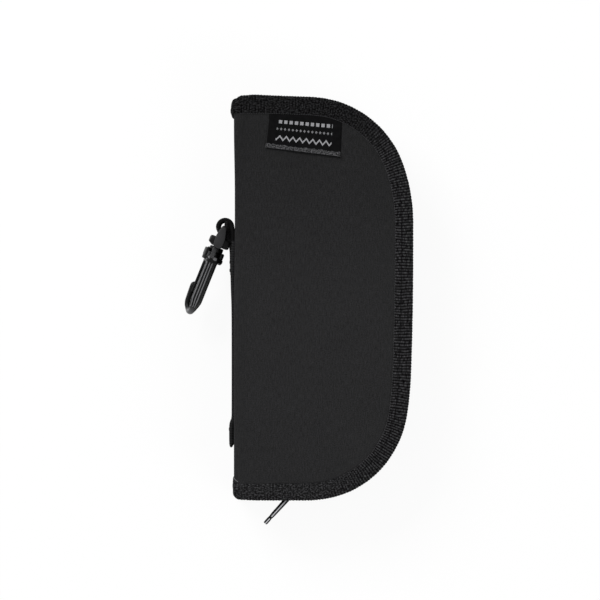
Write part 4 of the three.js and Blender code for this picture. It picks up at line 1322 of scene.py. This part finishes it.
# %% [markdown]
# ## The hook and its gate
#
# The shank and its bend are one section swept along a J, slimmer in the bend, with a painted
# highlight on its outside. Three grip ribs stand on the shank's outer face and run together below;
# they are painted light all along, as painted highlights. The collar turns on the eye's stem: a ring
# above, a wide ring below with two painted glints on its near side, cheeks between them, and a wall
# that closes it at the back, so that the stem shows only from the open side. Two small blocks in front
# of the stem carry a painted highlight. The gate is a flat tongue of the same plastic that springs
# against the nose.

# %% Hook body
SHANK_X, NOSE_X, BEND_Y = -4.1, 4.5, -39.4
J_ROUTE = Route(
    (SHANK_X, -16.4), (SHANK_X, -22), (SHANK_X, -28), (SHANK_X, -34), (SHANK_X, BEND_Y + 0.5),
    (-3.5, -42.2), (-1.8, -43.8), (0.35, -44.2), (2.5, -43.6), (4.0, -41.8),
    (NOSE_X, BEND_Y), (NOSE_X, -35.0), (NOSE_X - 0.15, -29.3),
)
BEND_SHARE = 0.625
SHANK_SHIFT, NOSE_SHIFT = -0.7, -1.35
SHANK_HALF = (1.2, 2.85)
BEND_SLIMMER = 1.3
BEND_HIGHLIGHT = 0.75
SECTION_POWER = 0.55


def swept(route, rows, columns, section, painted_highlight=lambda share: 0.0):
    """A closed bar along a flat route; section(s, turn) gives its offsets beside the route and in z."""
    def place(s, t):
        (x, y), way = route.at(t)
        beside, rise = section(t, 2 * math.pi * s)
        side = Vector((way.y, -way.x)).normalized()
        return Vector((x + side.x * beside, y + side.y * beside, rise)), (t * route.length, painted_highlight(t))

    return bent_tube(columns, rows, place, 0.002)


def round_tip(s, length):
    """1 along a bar, and a round fall to 0 over the last part of it."""
    return math.sqrt(max(1 - (max(s - 1 + length, 0) / length) ** 2, 0.0))


def shank_section(s, turn):
    """The shank's section: a rounded bar, slimmer in the bend, broad and round at the tip."""
    bend = near(s, BEND_SHARE, 0.14, 1.25)
    nose = smooth((s - 0.68) / 0.14)
    end = 0.12 + 0.88 * round_tip(s, 0.05)
    half_x = (SHANK_HALF[0] + 0.3 * bend + 0.35 * nose) * end
    half_z = (SHANK_HALF[1] - BEND_SLIMMER * bend * (1 - nose) + 0.15 * nose) * end
    x, z = squared(turn, SECTION_POWER + 0.3 * bend)
    return half_x * x, half_z * z + between(SHANK_SHIFT, NOSE_SHIFT, smooth((s - 0.66) / 0.34))


def shank_highlight(share):
    """A painted highlight on the outside of the bend."""
    return BEND_HIGHLIGHT * near(share, BEND_SHARE - 0.015, 0.08, 1.3)


bm = swept(J_ROUTE, 110, 32, shank_section, shank_highlight)
print("hook, along its J:", round(J_ROUTE.length, 1), "mm")

# %% Grip ribs and collar
RIB_Z = (-3.2, -1.8, -0.45)
RIB_RADIUS, RIB_SUNK, RIB_RISE, RIB_GATHER = 0.3, 0.25, 0.22, 0.3
RIB_ROUTE = Route(*((SHANK_X, y) for y in (-18.0, -24, -31, -38)), (SHANK_X + 0.1, -41.6))
UPPER_RING, WIDE_RING = (3.5, -12.3, -9.8, 0.5), (5.3, -17.3, -14.9, 0.7)
RING_GLINT_SPOTS = ((-3.7, -2.3), (-0.5, 0.7))
RING_GLINT_SHARE, POST_HIGHLIGHT = 0.8, 0.3
COLLAR_BLOCKS = (
    ((-2.6, -15.6, -5.15), (2.6, -11.4, -3.1), 0.6),
    ((-2.6, -15.6, 2.4), (2.6, -11.9, 4.5), 0.6),
    ((3.15, -15.6, -3.4), (4.2, -10.9, 3.4), 0.3),
    ((-2.4, -17.7, 2.6), (1.6, -15.0, 4.7), 0.6),
    ((-5.3, -18.8, -3.2), (4.2, -16.6, 2.2), 0.7),
)
POST_BLOCKS = (
    ((-5.2, -15.9, -3.0), (-4.2, -10.5, -0.8), 0.3),
    ((-4.0, -15.6, -4.2), (-3.0, -12.9, -2.8), 0.3),
)


def grip_rib(z):
    """One grip rib that stands on the shank's outer face and sinks into it at both its ends."""
    off = min(abs(z - SHANK_SHIFT) / SHANK_HALF[1], 0.95)
    face = SHANK_HALF[0] * (1 - off ** (2 / SECTION_POWER)) ** (SECTION_POWER / 2)

    def section(s, turn):
        rise = RIB_RISE * smooth(s * 14) * smooth((1 - s) * 7)
        gather = between(z, between(z, SHANK_SHIFT, RIB_GATHER), smooth((s - 0.8) * 5))
        out, over = RIB_RADIUS * direction(turn)
        return face - RIB_SUNK + rise + out, gather + over

    # Each rib gets a full painted highlight along its length.
    return swept(RIB_ROUTE, 60, 10, section, lambda share: 1.0)


for z in RIB_Z:
    merge_into(bm, grip_rib(z))
add_rod(bm, *UPPER_RING)
for block in COLLAR_BLOCKS:
    add_block(bm, *block)
ring = bmesh.new()
add_rod(ring, *WIDE_RING)
# Two painted glints on the wide ring's near side.
near_side = [face for face in ring.faces if face.calc_center_median().x < 0]
for low, high in RING_GLINT_SPOTS:
    paint_highlight(ring, [face for face in near_side if low < face.calc_center_median().z < high], RING_GLINT_SHARE)
post = bmesh.new()
for block in POST_BLOCKS:
    add_block(post, *block)
# A painted highlight on the post blocks.
paint_highlight(post, post.faces, POST_HIGHLIGHT)
merge_into(bm, ring)
merge_into(bm, post)
solids = ("hook_body",)
add_piece("hook_moulding", bm, plastic, "hook", solids, TURNED, sharp_deg=EASED_SHARP_DEG)

# %% Gate
GATE_ROUTE = Route((1.5, -18.2), (1.7, -20.5), (1.85, -26), (1.9, -31), (1.9, -35.2))
GATE_HALF = (1.15, 2.55)
GATE_SHIFT = -0.95


def gate_section(s, turn):
    """The gate: a flat sprung tongue, thick at its root and rounded at its end."""
    tip = round_tip(s, 0.04)
    x, z = squared(turn, 0.45)
    half_x = (GATE_HALF[0] - 0.5 * smooth(s * 2.5)) * (0.2 + 0.8 * tip)
    return half_x * x, GATE_HALF[1] * z * (0.3 + 0.7 * tip) + GATE_SHIFT


bm = swept(GATE_ROUTE, 40, 24, gate_section)
add_piece("gate_moulding", bm, plastic, "gate", ("hook_gate",), TURNED, sharp_deg=40)

# %% [markdown]
# ## Slider and stops
#
# The slider is die-cast zinc, plated dark. Its solids already have the right shape but are sharp as
# cut paper. Modelled again they would only come out the same, so each is copied, merged, cleaned of
# the flat seams between its triangles and eased.

# %% Eased copies of the small metal parts
METAL_PARTS = (
    ("zip_stop_top", "stop_top", "back_half", 0.25),
    ("zip_stop_bottom", "stop_bottom", "back_half", 0.25),
    ("slider_body", "slider_casting", "slider", 0.18),
    ("slider_bridge", "slider_ears", "slider", 0.15),
)


def sharp_edges(bm, degrees):
    """The edges where two faces meet at more than an angle."""
    angle = math.radians(degrees)
    return [edge for edge in bm.edges if len(edge.link_faces) == 2 and edge.calc_face_angle() > angle]


for node, name, body, width in METAL_PARTS:
    bm = bmesh.new()
    bm.from_mesh(frame["nodes"][node].data)
    bmesh.ops.remove_doubles(bm, verts=bm.verts, dist=0.00001)
    bmesh.ops.scale(bm, vec=Vector((1 / MM, 1 / MM, 1 / MM)), verts=bm.verts)
    bmesh.ops.dissolve_limit(bm, angle_limit=math.radians(1), verts=bm.verts, edges=bm.edges)
    ease(bm, sharp_edges(bm, EASED_SHARP_DEG), width)
    bmesh.ops.recalc_face_normals(bm, faces=bm.faces)
    add_piece(name, bm, metal, body, (node,), sharp_deg=EASED_SHARP_DEG)

# %% [markdown]
# ## The pull
#
# The pull is a flat tag with a long slot. Two loops are bridged to a ring, the ring is raised, and
# its thickness is then tapered towards the tip, with a shallow notch before the lip. A boolean cut
# would leave ragged faces round the slot. Along its narrow edges a strip is made bare metal: a
# painted highlight where the edge face catches the light. Two planes cut that strip free and its
# faces are marked for the painted highlight.

# %% Pull tab
PULL_LENGTH, PULL_HALF_WIDTH = 18.7, 3.0
PULL_HALF_THICKNESS = (1.32, 1.0)
PULL_POINTS = 40
OUTER_LOOP = (-PULL_LENGTH, -0.6, PULL_HALF_WIDTH, 0.62)
SLOT_LOOP = (3.0 - PULL_LENGTH, -6.2, PULL_HALF_WIDTH - 1.6, 0.8)
PIN = (1.5, 0.1 - PULL_HALF_WIDTH, PULL_HALF_WIDTH - 0.1, 0.3)
NOTCH_Y, NOTCH_DEPTH, NOTCH_HALF = -14.6, 0.25, 0.6
HIGHLIGHT_STRIP, HIGHLIGHT_SIDE_Z, HIGHLIGHT_LIP_Y = (-0.14, 0.36), 1.7, 2.6 - PULL_LENGTH


def shape_loop(bm, low, high, half_width, power):
    """A closed loop of edges round a long rounded shape, in Y and Z."""
    verts = bmesh.ops.create_circle(bm, cap_ends=False, segments=PULL_POINTS, radius=1)["verts"]
    for vert in verts:
        across, along = squared(math.atan2(vert.co.y, vert.co.x), power)
        vert.co = Vector((0, (low + high) / 2 + along * (high - low) / 2, across * half_width))
    return edges_of(verts)


def pull_half_thickness(y):
    """Half the pull's thickness: it tapers, with a shallow notch before its lip."""
    notch = NOTCH_DEPTH * math.exp(-((y - NOTCH_Y) / 0.7) ** 2)
    return between(*PULL_HALF_THICKNESS, smooth(-y / PULL_LENGTH)) - notch


def is_highlighted(middle):
    """Whether a face in the middle of the pull's edge gets the painted highlight, as bare metal."""
    on_strip = HIGHLIGHT_STRIP[0] < middle.x < HIGHLIGHT_STRIP[1] and abs(middle.y - NOTCH_Y) > NOTCH_HALF
    return on_strip and (abs(middle.z) > HIGHLIGHT_SIDE_Z or middle.y < HIGHLIGHT_LIP_Y)


bm = bmesh.new()
rims = shape_loop(bm, *OUTER_LOOP) + shape_loop(bm, *SLOT_LOOP)
bmesh.ops.bridge_loops(bm, edges=rims)
bmesh.ops.subdivide_edges(bm, edges=[edge for edge in bm.edges if len(edge.link_faces) == 2], cuts=2)
front = set(raise_face(bm))
for vert in bm.verts:
    vert.co.x = pull_half_thickness(vert.co.y) * (1 if vert in front else -1)
bmesh.ops.recalc_face_normals(bm, faces=bm.faces)
ease(bm, sharp_edges(bm, 60), 0.5, 3)
for x in HIGHLIGHT_STRIP:
    cut_along(bm, Vector((x, 0, 0)), Vector((1, 0, 0)))
# Painted highlight: these faces turn to bare metal.
paint_highlight(bm, [face for face in bm.faces if is_highlighted(face.calc_center_median())])
add_rod(bm, *PIN, axis="Z")
add_piece("pull_tag", bm, highlight_metal, "pull", ("pull_tab",), PULLED, sharp_deg=40)

# %% [markdown]
# ## The woven label
#
# A small satin label hangs from under the top binding, so its upper edge is trapped and its lower
# edge stands a little proud. It is not quite square with the case. Its face is finer and smoother
# than the cover, with a lighter overlocked hem at the bottom. Below the hem, a thin dark line along
# the lower edge is painted shadow, for the shadow at the lifted edge. A faint lighter line runs up
# the label's left edge. What is woven into it here is a plain ornament of rows: dashes, diamonds and
# a zigzag. Each is a sum on the label's own map, so it stays sharp however close one looks.

# %% Satin finish
ORNAMENT_FROM, ORNAMENT_TO = 4.5, 31.5
ORNAMENT_GREY, HEM_GREY = 0.42, 0.095
DASH_ROW, DASH_PITCH, DASH_SHARE, DASH_HALF_HEIGHT = 12.4, 2.6, 0.62, 0.75
DIAMOND_ROW, DIAMOND_PITCH, DIAMOND_REACH = 9.2, 1.9, 0.62
LINE_ROW, LINE_PITCH, LINE_HEIGHT, LINE_HALF_WIDTH = 4.3, 3.2, 1.8, 0.45
PAINTED_SHADOW_LINE, HEM_TO = 0.3, 2.2
EDGE_LINE_WIDTH, EDGE_LINE_HEIGHT, EDGE_LINE_SHARE = 0.35, 13, 0.12


def label_finish():
    """Black satin with three rows of light ornament, a mottled hem above a line of painted shadow, and a
    faint lighter line at its left edge.
    """
    finish = Finish("satin", Roughness=0.62, Specular_IOR_Level=0.02)
    across, up = finish.cloth()
    weave = wave(up, 0.32) * wave(across, 0.5)
    satin = finish.mix(finish.speckle((across, up), 0.5, 3.0), 0.0012, 0.0055)
    dash = ((across / DASH_PITCH).math("FRACT") < DASH_SHARE) * (abs(up - DASH_ROW) < DASH_HALF_HEIGHT)
    beside = zigzag(across, DIAMOND_PITCH) * (DIAMOND_PITCH / 2)
    diamond = (beside + abs(up - DIAMOND_ROW)) < DIAMOND_REACH
    line = abs(zigzag(across, LINE_PITCH) * LINE_HEIGHT + LINE_ROW - up) < LINE_HALF_WIDTH
    inside = (across > ORNAMENT_FROM) * (across < ORNAMENT_TO)
    ornament = (dash + diamond * 0.6 + line).math("MINIMUM", 1.0) * inside
    figured = finish.mix(ornament * (0.35 + weave * 0.9), satin, ORNAMENT_GREY)
    ragged = finish.speckle((across * 0.8, up * 0.8)) * 1.6 - 0.8
    mottled = finish.speckle((across * 1.6, up * 2.2), detail=3.0) * 4.2 - 1.7
    # The hem starts a little above the lower edge; the dark strip left below it is painted shadow.
    hem = (up + ragged < HEM_TO) * (up > PAINTED_SHADOW_LINE) * mottled
    # A faint lighter line along the left edge.
    edge_line = (across < EDGE_LINE_WIDTH) * (up < EDGE_LINE_HEIGHT) * EDGE_LINE_SHARE
    finish.relief(weave, 0.06, 0.6)
    return finish.wear(Base_Color=finish.mix(hem.math("MAXIMUM", edge_line).clamped(), figured, HEM_GREY))


satin = label_finish()
print("ornament:", ORNAMENT_TO - ORNAMENT_FROM, "mm wide")

# %% Label
LABEL_SIZE = (36.0, 17.0)
LABEL_CAUGHT = 2.0
LABEL_TOP = (Vector((-26.8, 92.0)), Vector((9.2, 89.4)))
LABEL_FOOT = (Vector((-28.9, 73.6)), Vector((8.0, 68.9)))
LABEL_WALL = 0.22
LABEL_Z = 31.98
LABEL_LIFT, HEM_CURL = 0.5, 0.35


def label_place(s, t):
    """A point of the label: s across it and t from its hem up."""
    at = between(between(*LABEL_FOOT, s), between(*LABEL_TOP, s), t)
    curl = HEM_CURL * smooth(1 - t * 7) * (1 + wander(s * 3, 0, 4.0))
    lift = LABEL_LIFT * smooth(1 - t * 1.15) + curl
    return Vector((at.x, at.y, LABEL_Z + lift)), (s * LABEL_SIZE[0], t * LABEL_SIZE[1])


bm = bent_grid(36, 18, label_place)
label = add_piece("label_satin", bm, satin, "front_half", ("woven_label",), wall=LABEL_WALL)
declare_sheet(label, (LABEL_SIZE[0], LABEL_SIZE[1] + LABEL_CAUGHT))

# %% [markdown]
# ## Inside: elastic bands
#
# The back half holds the meter, the lancing pen and the strips under three elastic bands, each sewn
# down by its two feet. A band is a strip on a route over an empty space, with a wavy edge, because
# elastic gathers the thread that it is sewn with.

# %% Elastic bands
ELASTIC_WALL = 0.9
BAND_EDGE, BAND_WANDER = 0.15, 0.12
BAND_CELL, BAND_ROWS = 1.2, 80
FOOT = 3.0
FOOT_PITCH, FOOT_MARGIN = 2.5, 1.4
FOOT_STITCH = (0.95, 0.24, 0.2)


def band_route(low, high):
    """The outer face of a band, in X and Z, between the tips of its two feet."""
    left, right, top, base = low.x + FOOT, high.x - FOOT, high.z, low.z + 1.0
    rising = (
        (-FOOT, base - 0.1), (-1.0, base), (-0.1, base + 0.7), (0, base + 3),
        (0.1, top - 3.4), (1.0, top - 0.9), (3.4, top - 0.1),
    )
    return Route(
        *((left + x, z) for x, z in rising),
        ((low.x + high.x) / 2, top + 0.15),
        *((right - x, z) for x, z in reversed(rising)),
    )


def add_band(node):
    """An elastic band on two sewn feet, with a row of stitches in each foot."""
    low, high = box_in_mm(node)
    route = band_route(low, high)
    width = high.y - low.y

    def place(s, t):
        (x, z), way = route.at(t)
        edge = BAND_EDGE * (1 - off_ends(s, width))
        y = between(low.y, high.y, s) + BAND_WANDER * wander(x * 0.3, s * 4, low.x)
        return Vector((x, y, z)) - Vector((-way.y, 0, way.x)) * edge, (t * route.length, s * width)

    bm = bent_grid(round(width / BAND_CELL), BAND_ROWS, place, flip=True)
    add_piece(f"{node}_elastic", bm, elastic, "back_half", (node,), wall=ELASTIC_WALL)
    seams = bmesh.new()
    for x in (low.x + FOOT_MARGIN, high.x - FOOT_MARGIN):
        for step in range(round(width / FOOT_PITCH)):
            middle = Vector((x, low.y + FOOT_MARGIN + step * FOOT_PITCH, low.z + 1.0))
            add_stitch(seams, middle, Vector((0, 1, 0)), Vector((0, 0, 1)), FOOT_STITCH)
    add_piece(f"{node}_stitches", seams, thread, "back_half")
    print(f"{node}: {route.length:.0f} x {width:.0f} mm")


for node in ("meter_band", "lancet_loop", "vial_loop"):
    add_band(node)

# %% [markdown]
# ## Inside: the net pocket
#
# The front half has a pocket of open net with an elastic edge. Alpha could fake the openings, but
# the net is real: every face of a grid is inset and its middle deleted, and the threads that are
# left get a wall. The elastic edge is a strip over the net's mouth that bows a little.

# %% Net
NET_LOW, NET_HIGH = box_in_mm("mesh_pocket")
NET_INSET = 12
NET_CELLS = (34, 62)
NET_THREAD, NET_WALL = 0.42, 0.4
NET_GAP, NET_BAG, NET_CAUGHT = 0.45, 1.0, 1


def net_place(s, t):
    """A point of the pocket's net, sewn down at its sides and foot and bagging in the middle."""
    y = between(NET_LOW.y, NET_HIGH.y, t)
    x = between(NET_LOW.x, right_x(y, NET_INSET), s)
    slack = NET_BAG + 0.3 * wander(x * 0.06, y * 0.05, 11.0)
    return Vector((x, y, LINING_Z - NET_GAP - slack * off_ends(s, 4) * smooth(t * 5))), (y, x)


bm = bent_grid(*NET_CELLS, net_place)
area = cut_area(bm)
cells = bm.faces[:]
bmesh.ops.inset_individual(bm, faces=cells, thickness=NET_THREAD, use_even_offset=True)
bmesh.ops.delete(bm, geom=cells, context="FACES_ONLY")
bmesh.ops.reverse_faces(bm, faces=bm.faces)
solids = ("mesh_pocket",)
pocket = add_piece("pocket_net", bm, net, "front_half", solids, wall=NET_WALL, sharp_deg=40)
flat = (NET_HIGH.x - NET_LOW.x + NET_CAUGHT, NET_HIGH.y - NET_LOW.y + NET_CAUGHT)
declare_sheet(pocket, flat)

# %% Pocket edge
EDGE_LOW, EDGE_HIGH = box_in_mm("pocket_edge")
EDGE_WALL, EDGE_GAP, EDGE_ROLL, EDGE_BOW = 0.8, 0.85, 0.25, 0.5


def pocket_edge_place(s, t):
    """A point of the elastic edge over the net's mouth, its face towards the inside."""
    y = between(EDGE_LOW.y - 0.6, EDGE_HIGH.y, t)
    x = between(EDGE_LOW.x, right_x(y, NET_INSET), s)
    roll = EDGE_ROLL * (1 - off_ends(t, 6))
    return Vector((x, y, LINING_Z - EDGE_GAP - EDGE_BOW * off_ends(s, 4) + roll)), (x, y)


bm = bent_grid(48, 10, pocket_edge_place, flip=True)
add_piece("pocket_edge_elastic", bm, elastic, "front_half", ("pocket_edge",), wall=EDGE_WALL)

# %% [markdown]
# ## The foam
#
# The foam cores are shut in between cloth and lining. Those of the covers keep their solids and
# only get their finish. The spine's core is a plain strip here, cut short of the bound ends, where
# the tape is drawn in tighter than the solid foam allows.

# %% Foam
CORE_MARGIN = Vector((0.75, 5.0, 2.4))

for node in ("front_cover_foam", "back_cover_foam"):
    frame["nodes"][node].material_slots[0].material = foam
low, high = box_in_mm("spine_foam")
bm = bmesh.new()
add_block(bm, low + CORE_MARGIN, high - CORE_MARGIN, 0.5)
add_piece("spine_foam_core", bm, foam, "spine", ("spine_foam",))

# %% [markdown]
# ## Floor, backdrop and light
#
# The photograph has a pure white ground. More light would whiten the floor, but wash out the case.
# So the floor shows white to the camera and keeps a share of plain pale paint, which is what holds
# the object's soft shadow. The world is white to the camera and in reflections, and otherwise a
# plain soft light. One large soft lamp from the upper left gives the ribs and folds their shading,
# and a weaker one fills from the right.

# %% Floor
FLOOR_Z = -1.6
FLOOR_SIZE = 2500
FLOOR_WHITE = 0.92
PALE_PAINT = (0.85, 0.85, 0.85, 1)


def blended(nodes, share, first, second):
    """A Mix Shader between two shaders."""
    return nodes.node("ShaderNodeMixShader", {0: share, 1: first, 2: second})


def show_white(nodes, plain, white):
    """The white shader to the camera and in reflections, and the plain one to all other rays."""
    camera_ray = nodes.node("ShaderNodeLightPath", out="Is Camera Ray")
    seen = camera_ray.math("MAXIMUM", camera_ray.output("Is Glossy Ray"))
    seen = seen.math("MAXIMUM", camera_ray.output("Is Transmission Ray"))
    return blended(nodes, seen, plain, white)


bm = bmesh.new()
bmesh.ops.create_grid(bm, x_segments=1, y_segments=1, size=FLOOR_SIZE * MM)
bmesh.ops.translate(bm, vec=Vector((0, 0, FLOOR_Z * MM)), verts=bm.verts)
mesh = bpy.data.meshes.new("floor")
bm.to_mesh(mesh)
bm.free()
paper = Finish("floor_paper", Base_Color=PALE_PAINT, Roughness=1.0, Specular_IOR_Level=0.0)
paint = paper.given("Principled BSDF")
above = show_white(paper, paint, blended(paper, FLOOR_WHITE, paint, paper.node("ShaderNodeEmission")))
from_below = paper.node("ShaderNodeNewGeometry", out="Backfacing")
surface = blended(paper, from_below, above, paper.node("ShaderNodeBsdfTransparent"))
paper.feed(paper.tree.nodes["Material Output"].inputs["Surface"], surface)
mesh.materials.append(paper.material)
new_object("floor", mesh)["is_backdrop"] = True
print("floor at", FLOOR_Z, "mm")

# %% World and lamps
WORLD_LIGHT = 0.5
WHITE = (1, 1, 1, 1)
LAMPS = (("key", (-0.9, 1.0, 1.1), 0.8, 25), ("fill", (1.1, -0.9, 1.0), 0.9, 12))

world = bpy.data.worlds.new("studio")
bpy.context.scene.world = world
world.use_nodes = True
sky = Nodes(world.node_tree)
plain = sky.given("Background")
for key, fed in (("Color", WHITE), ("Strength", WORLD_LIGHT)):
    sky.feed(sky.tree.nodes["Background"].inputs[key], fed)
white = sky.node("ShaderNodeBackground", {"Color": WHITE})
sky.feed(sky.tree.nodes["World Output"].inputs["Surface"], show_white(sky, plain, white))
for name, place, size, watts in LAMPS:
    lamp = bpy.data.lights.new(name, "AREA")
    lamp.size = size
    lamp.energy = watts
    holder = new_object(name, lamp)
    holder.location = place
    holder.rotation_euler = (-Vector(place)).to_track_quat("-Z", "Y").to_euler()
bpy.context.scene.view_settings.view_transform = "Standard"
print("world:", WORLD_LIGHT)

# %% [markdown]
# ## Size
#
# The last step prints the box of the solids and the box of the dressed case.

# %% Finish
visual_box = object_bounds()
for title, box in (("solids", cad_box), ("dressed", visual_box)):
    print(title, [[round(value / MM, 1) for value in corner] for corner in box])
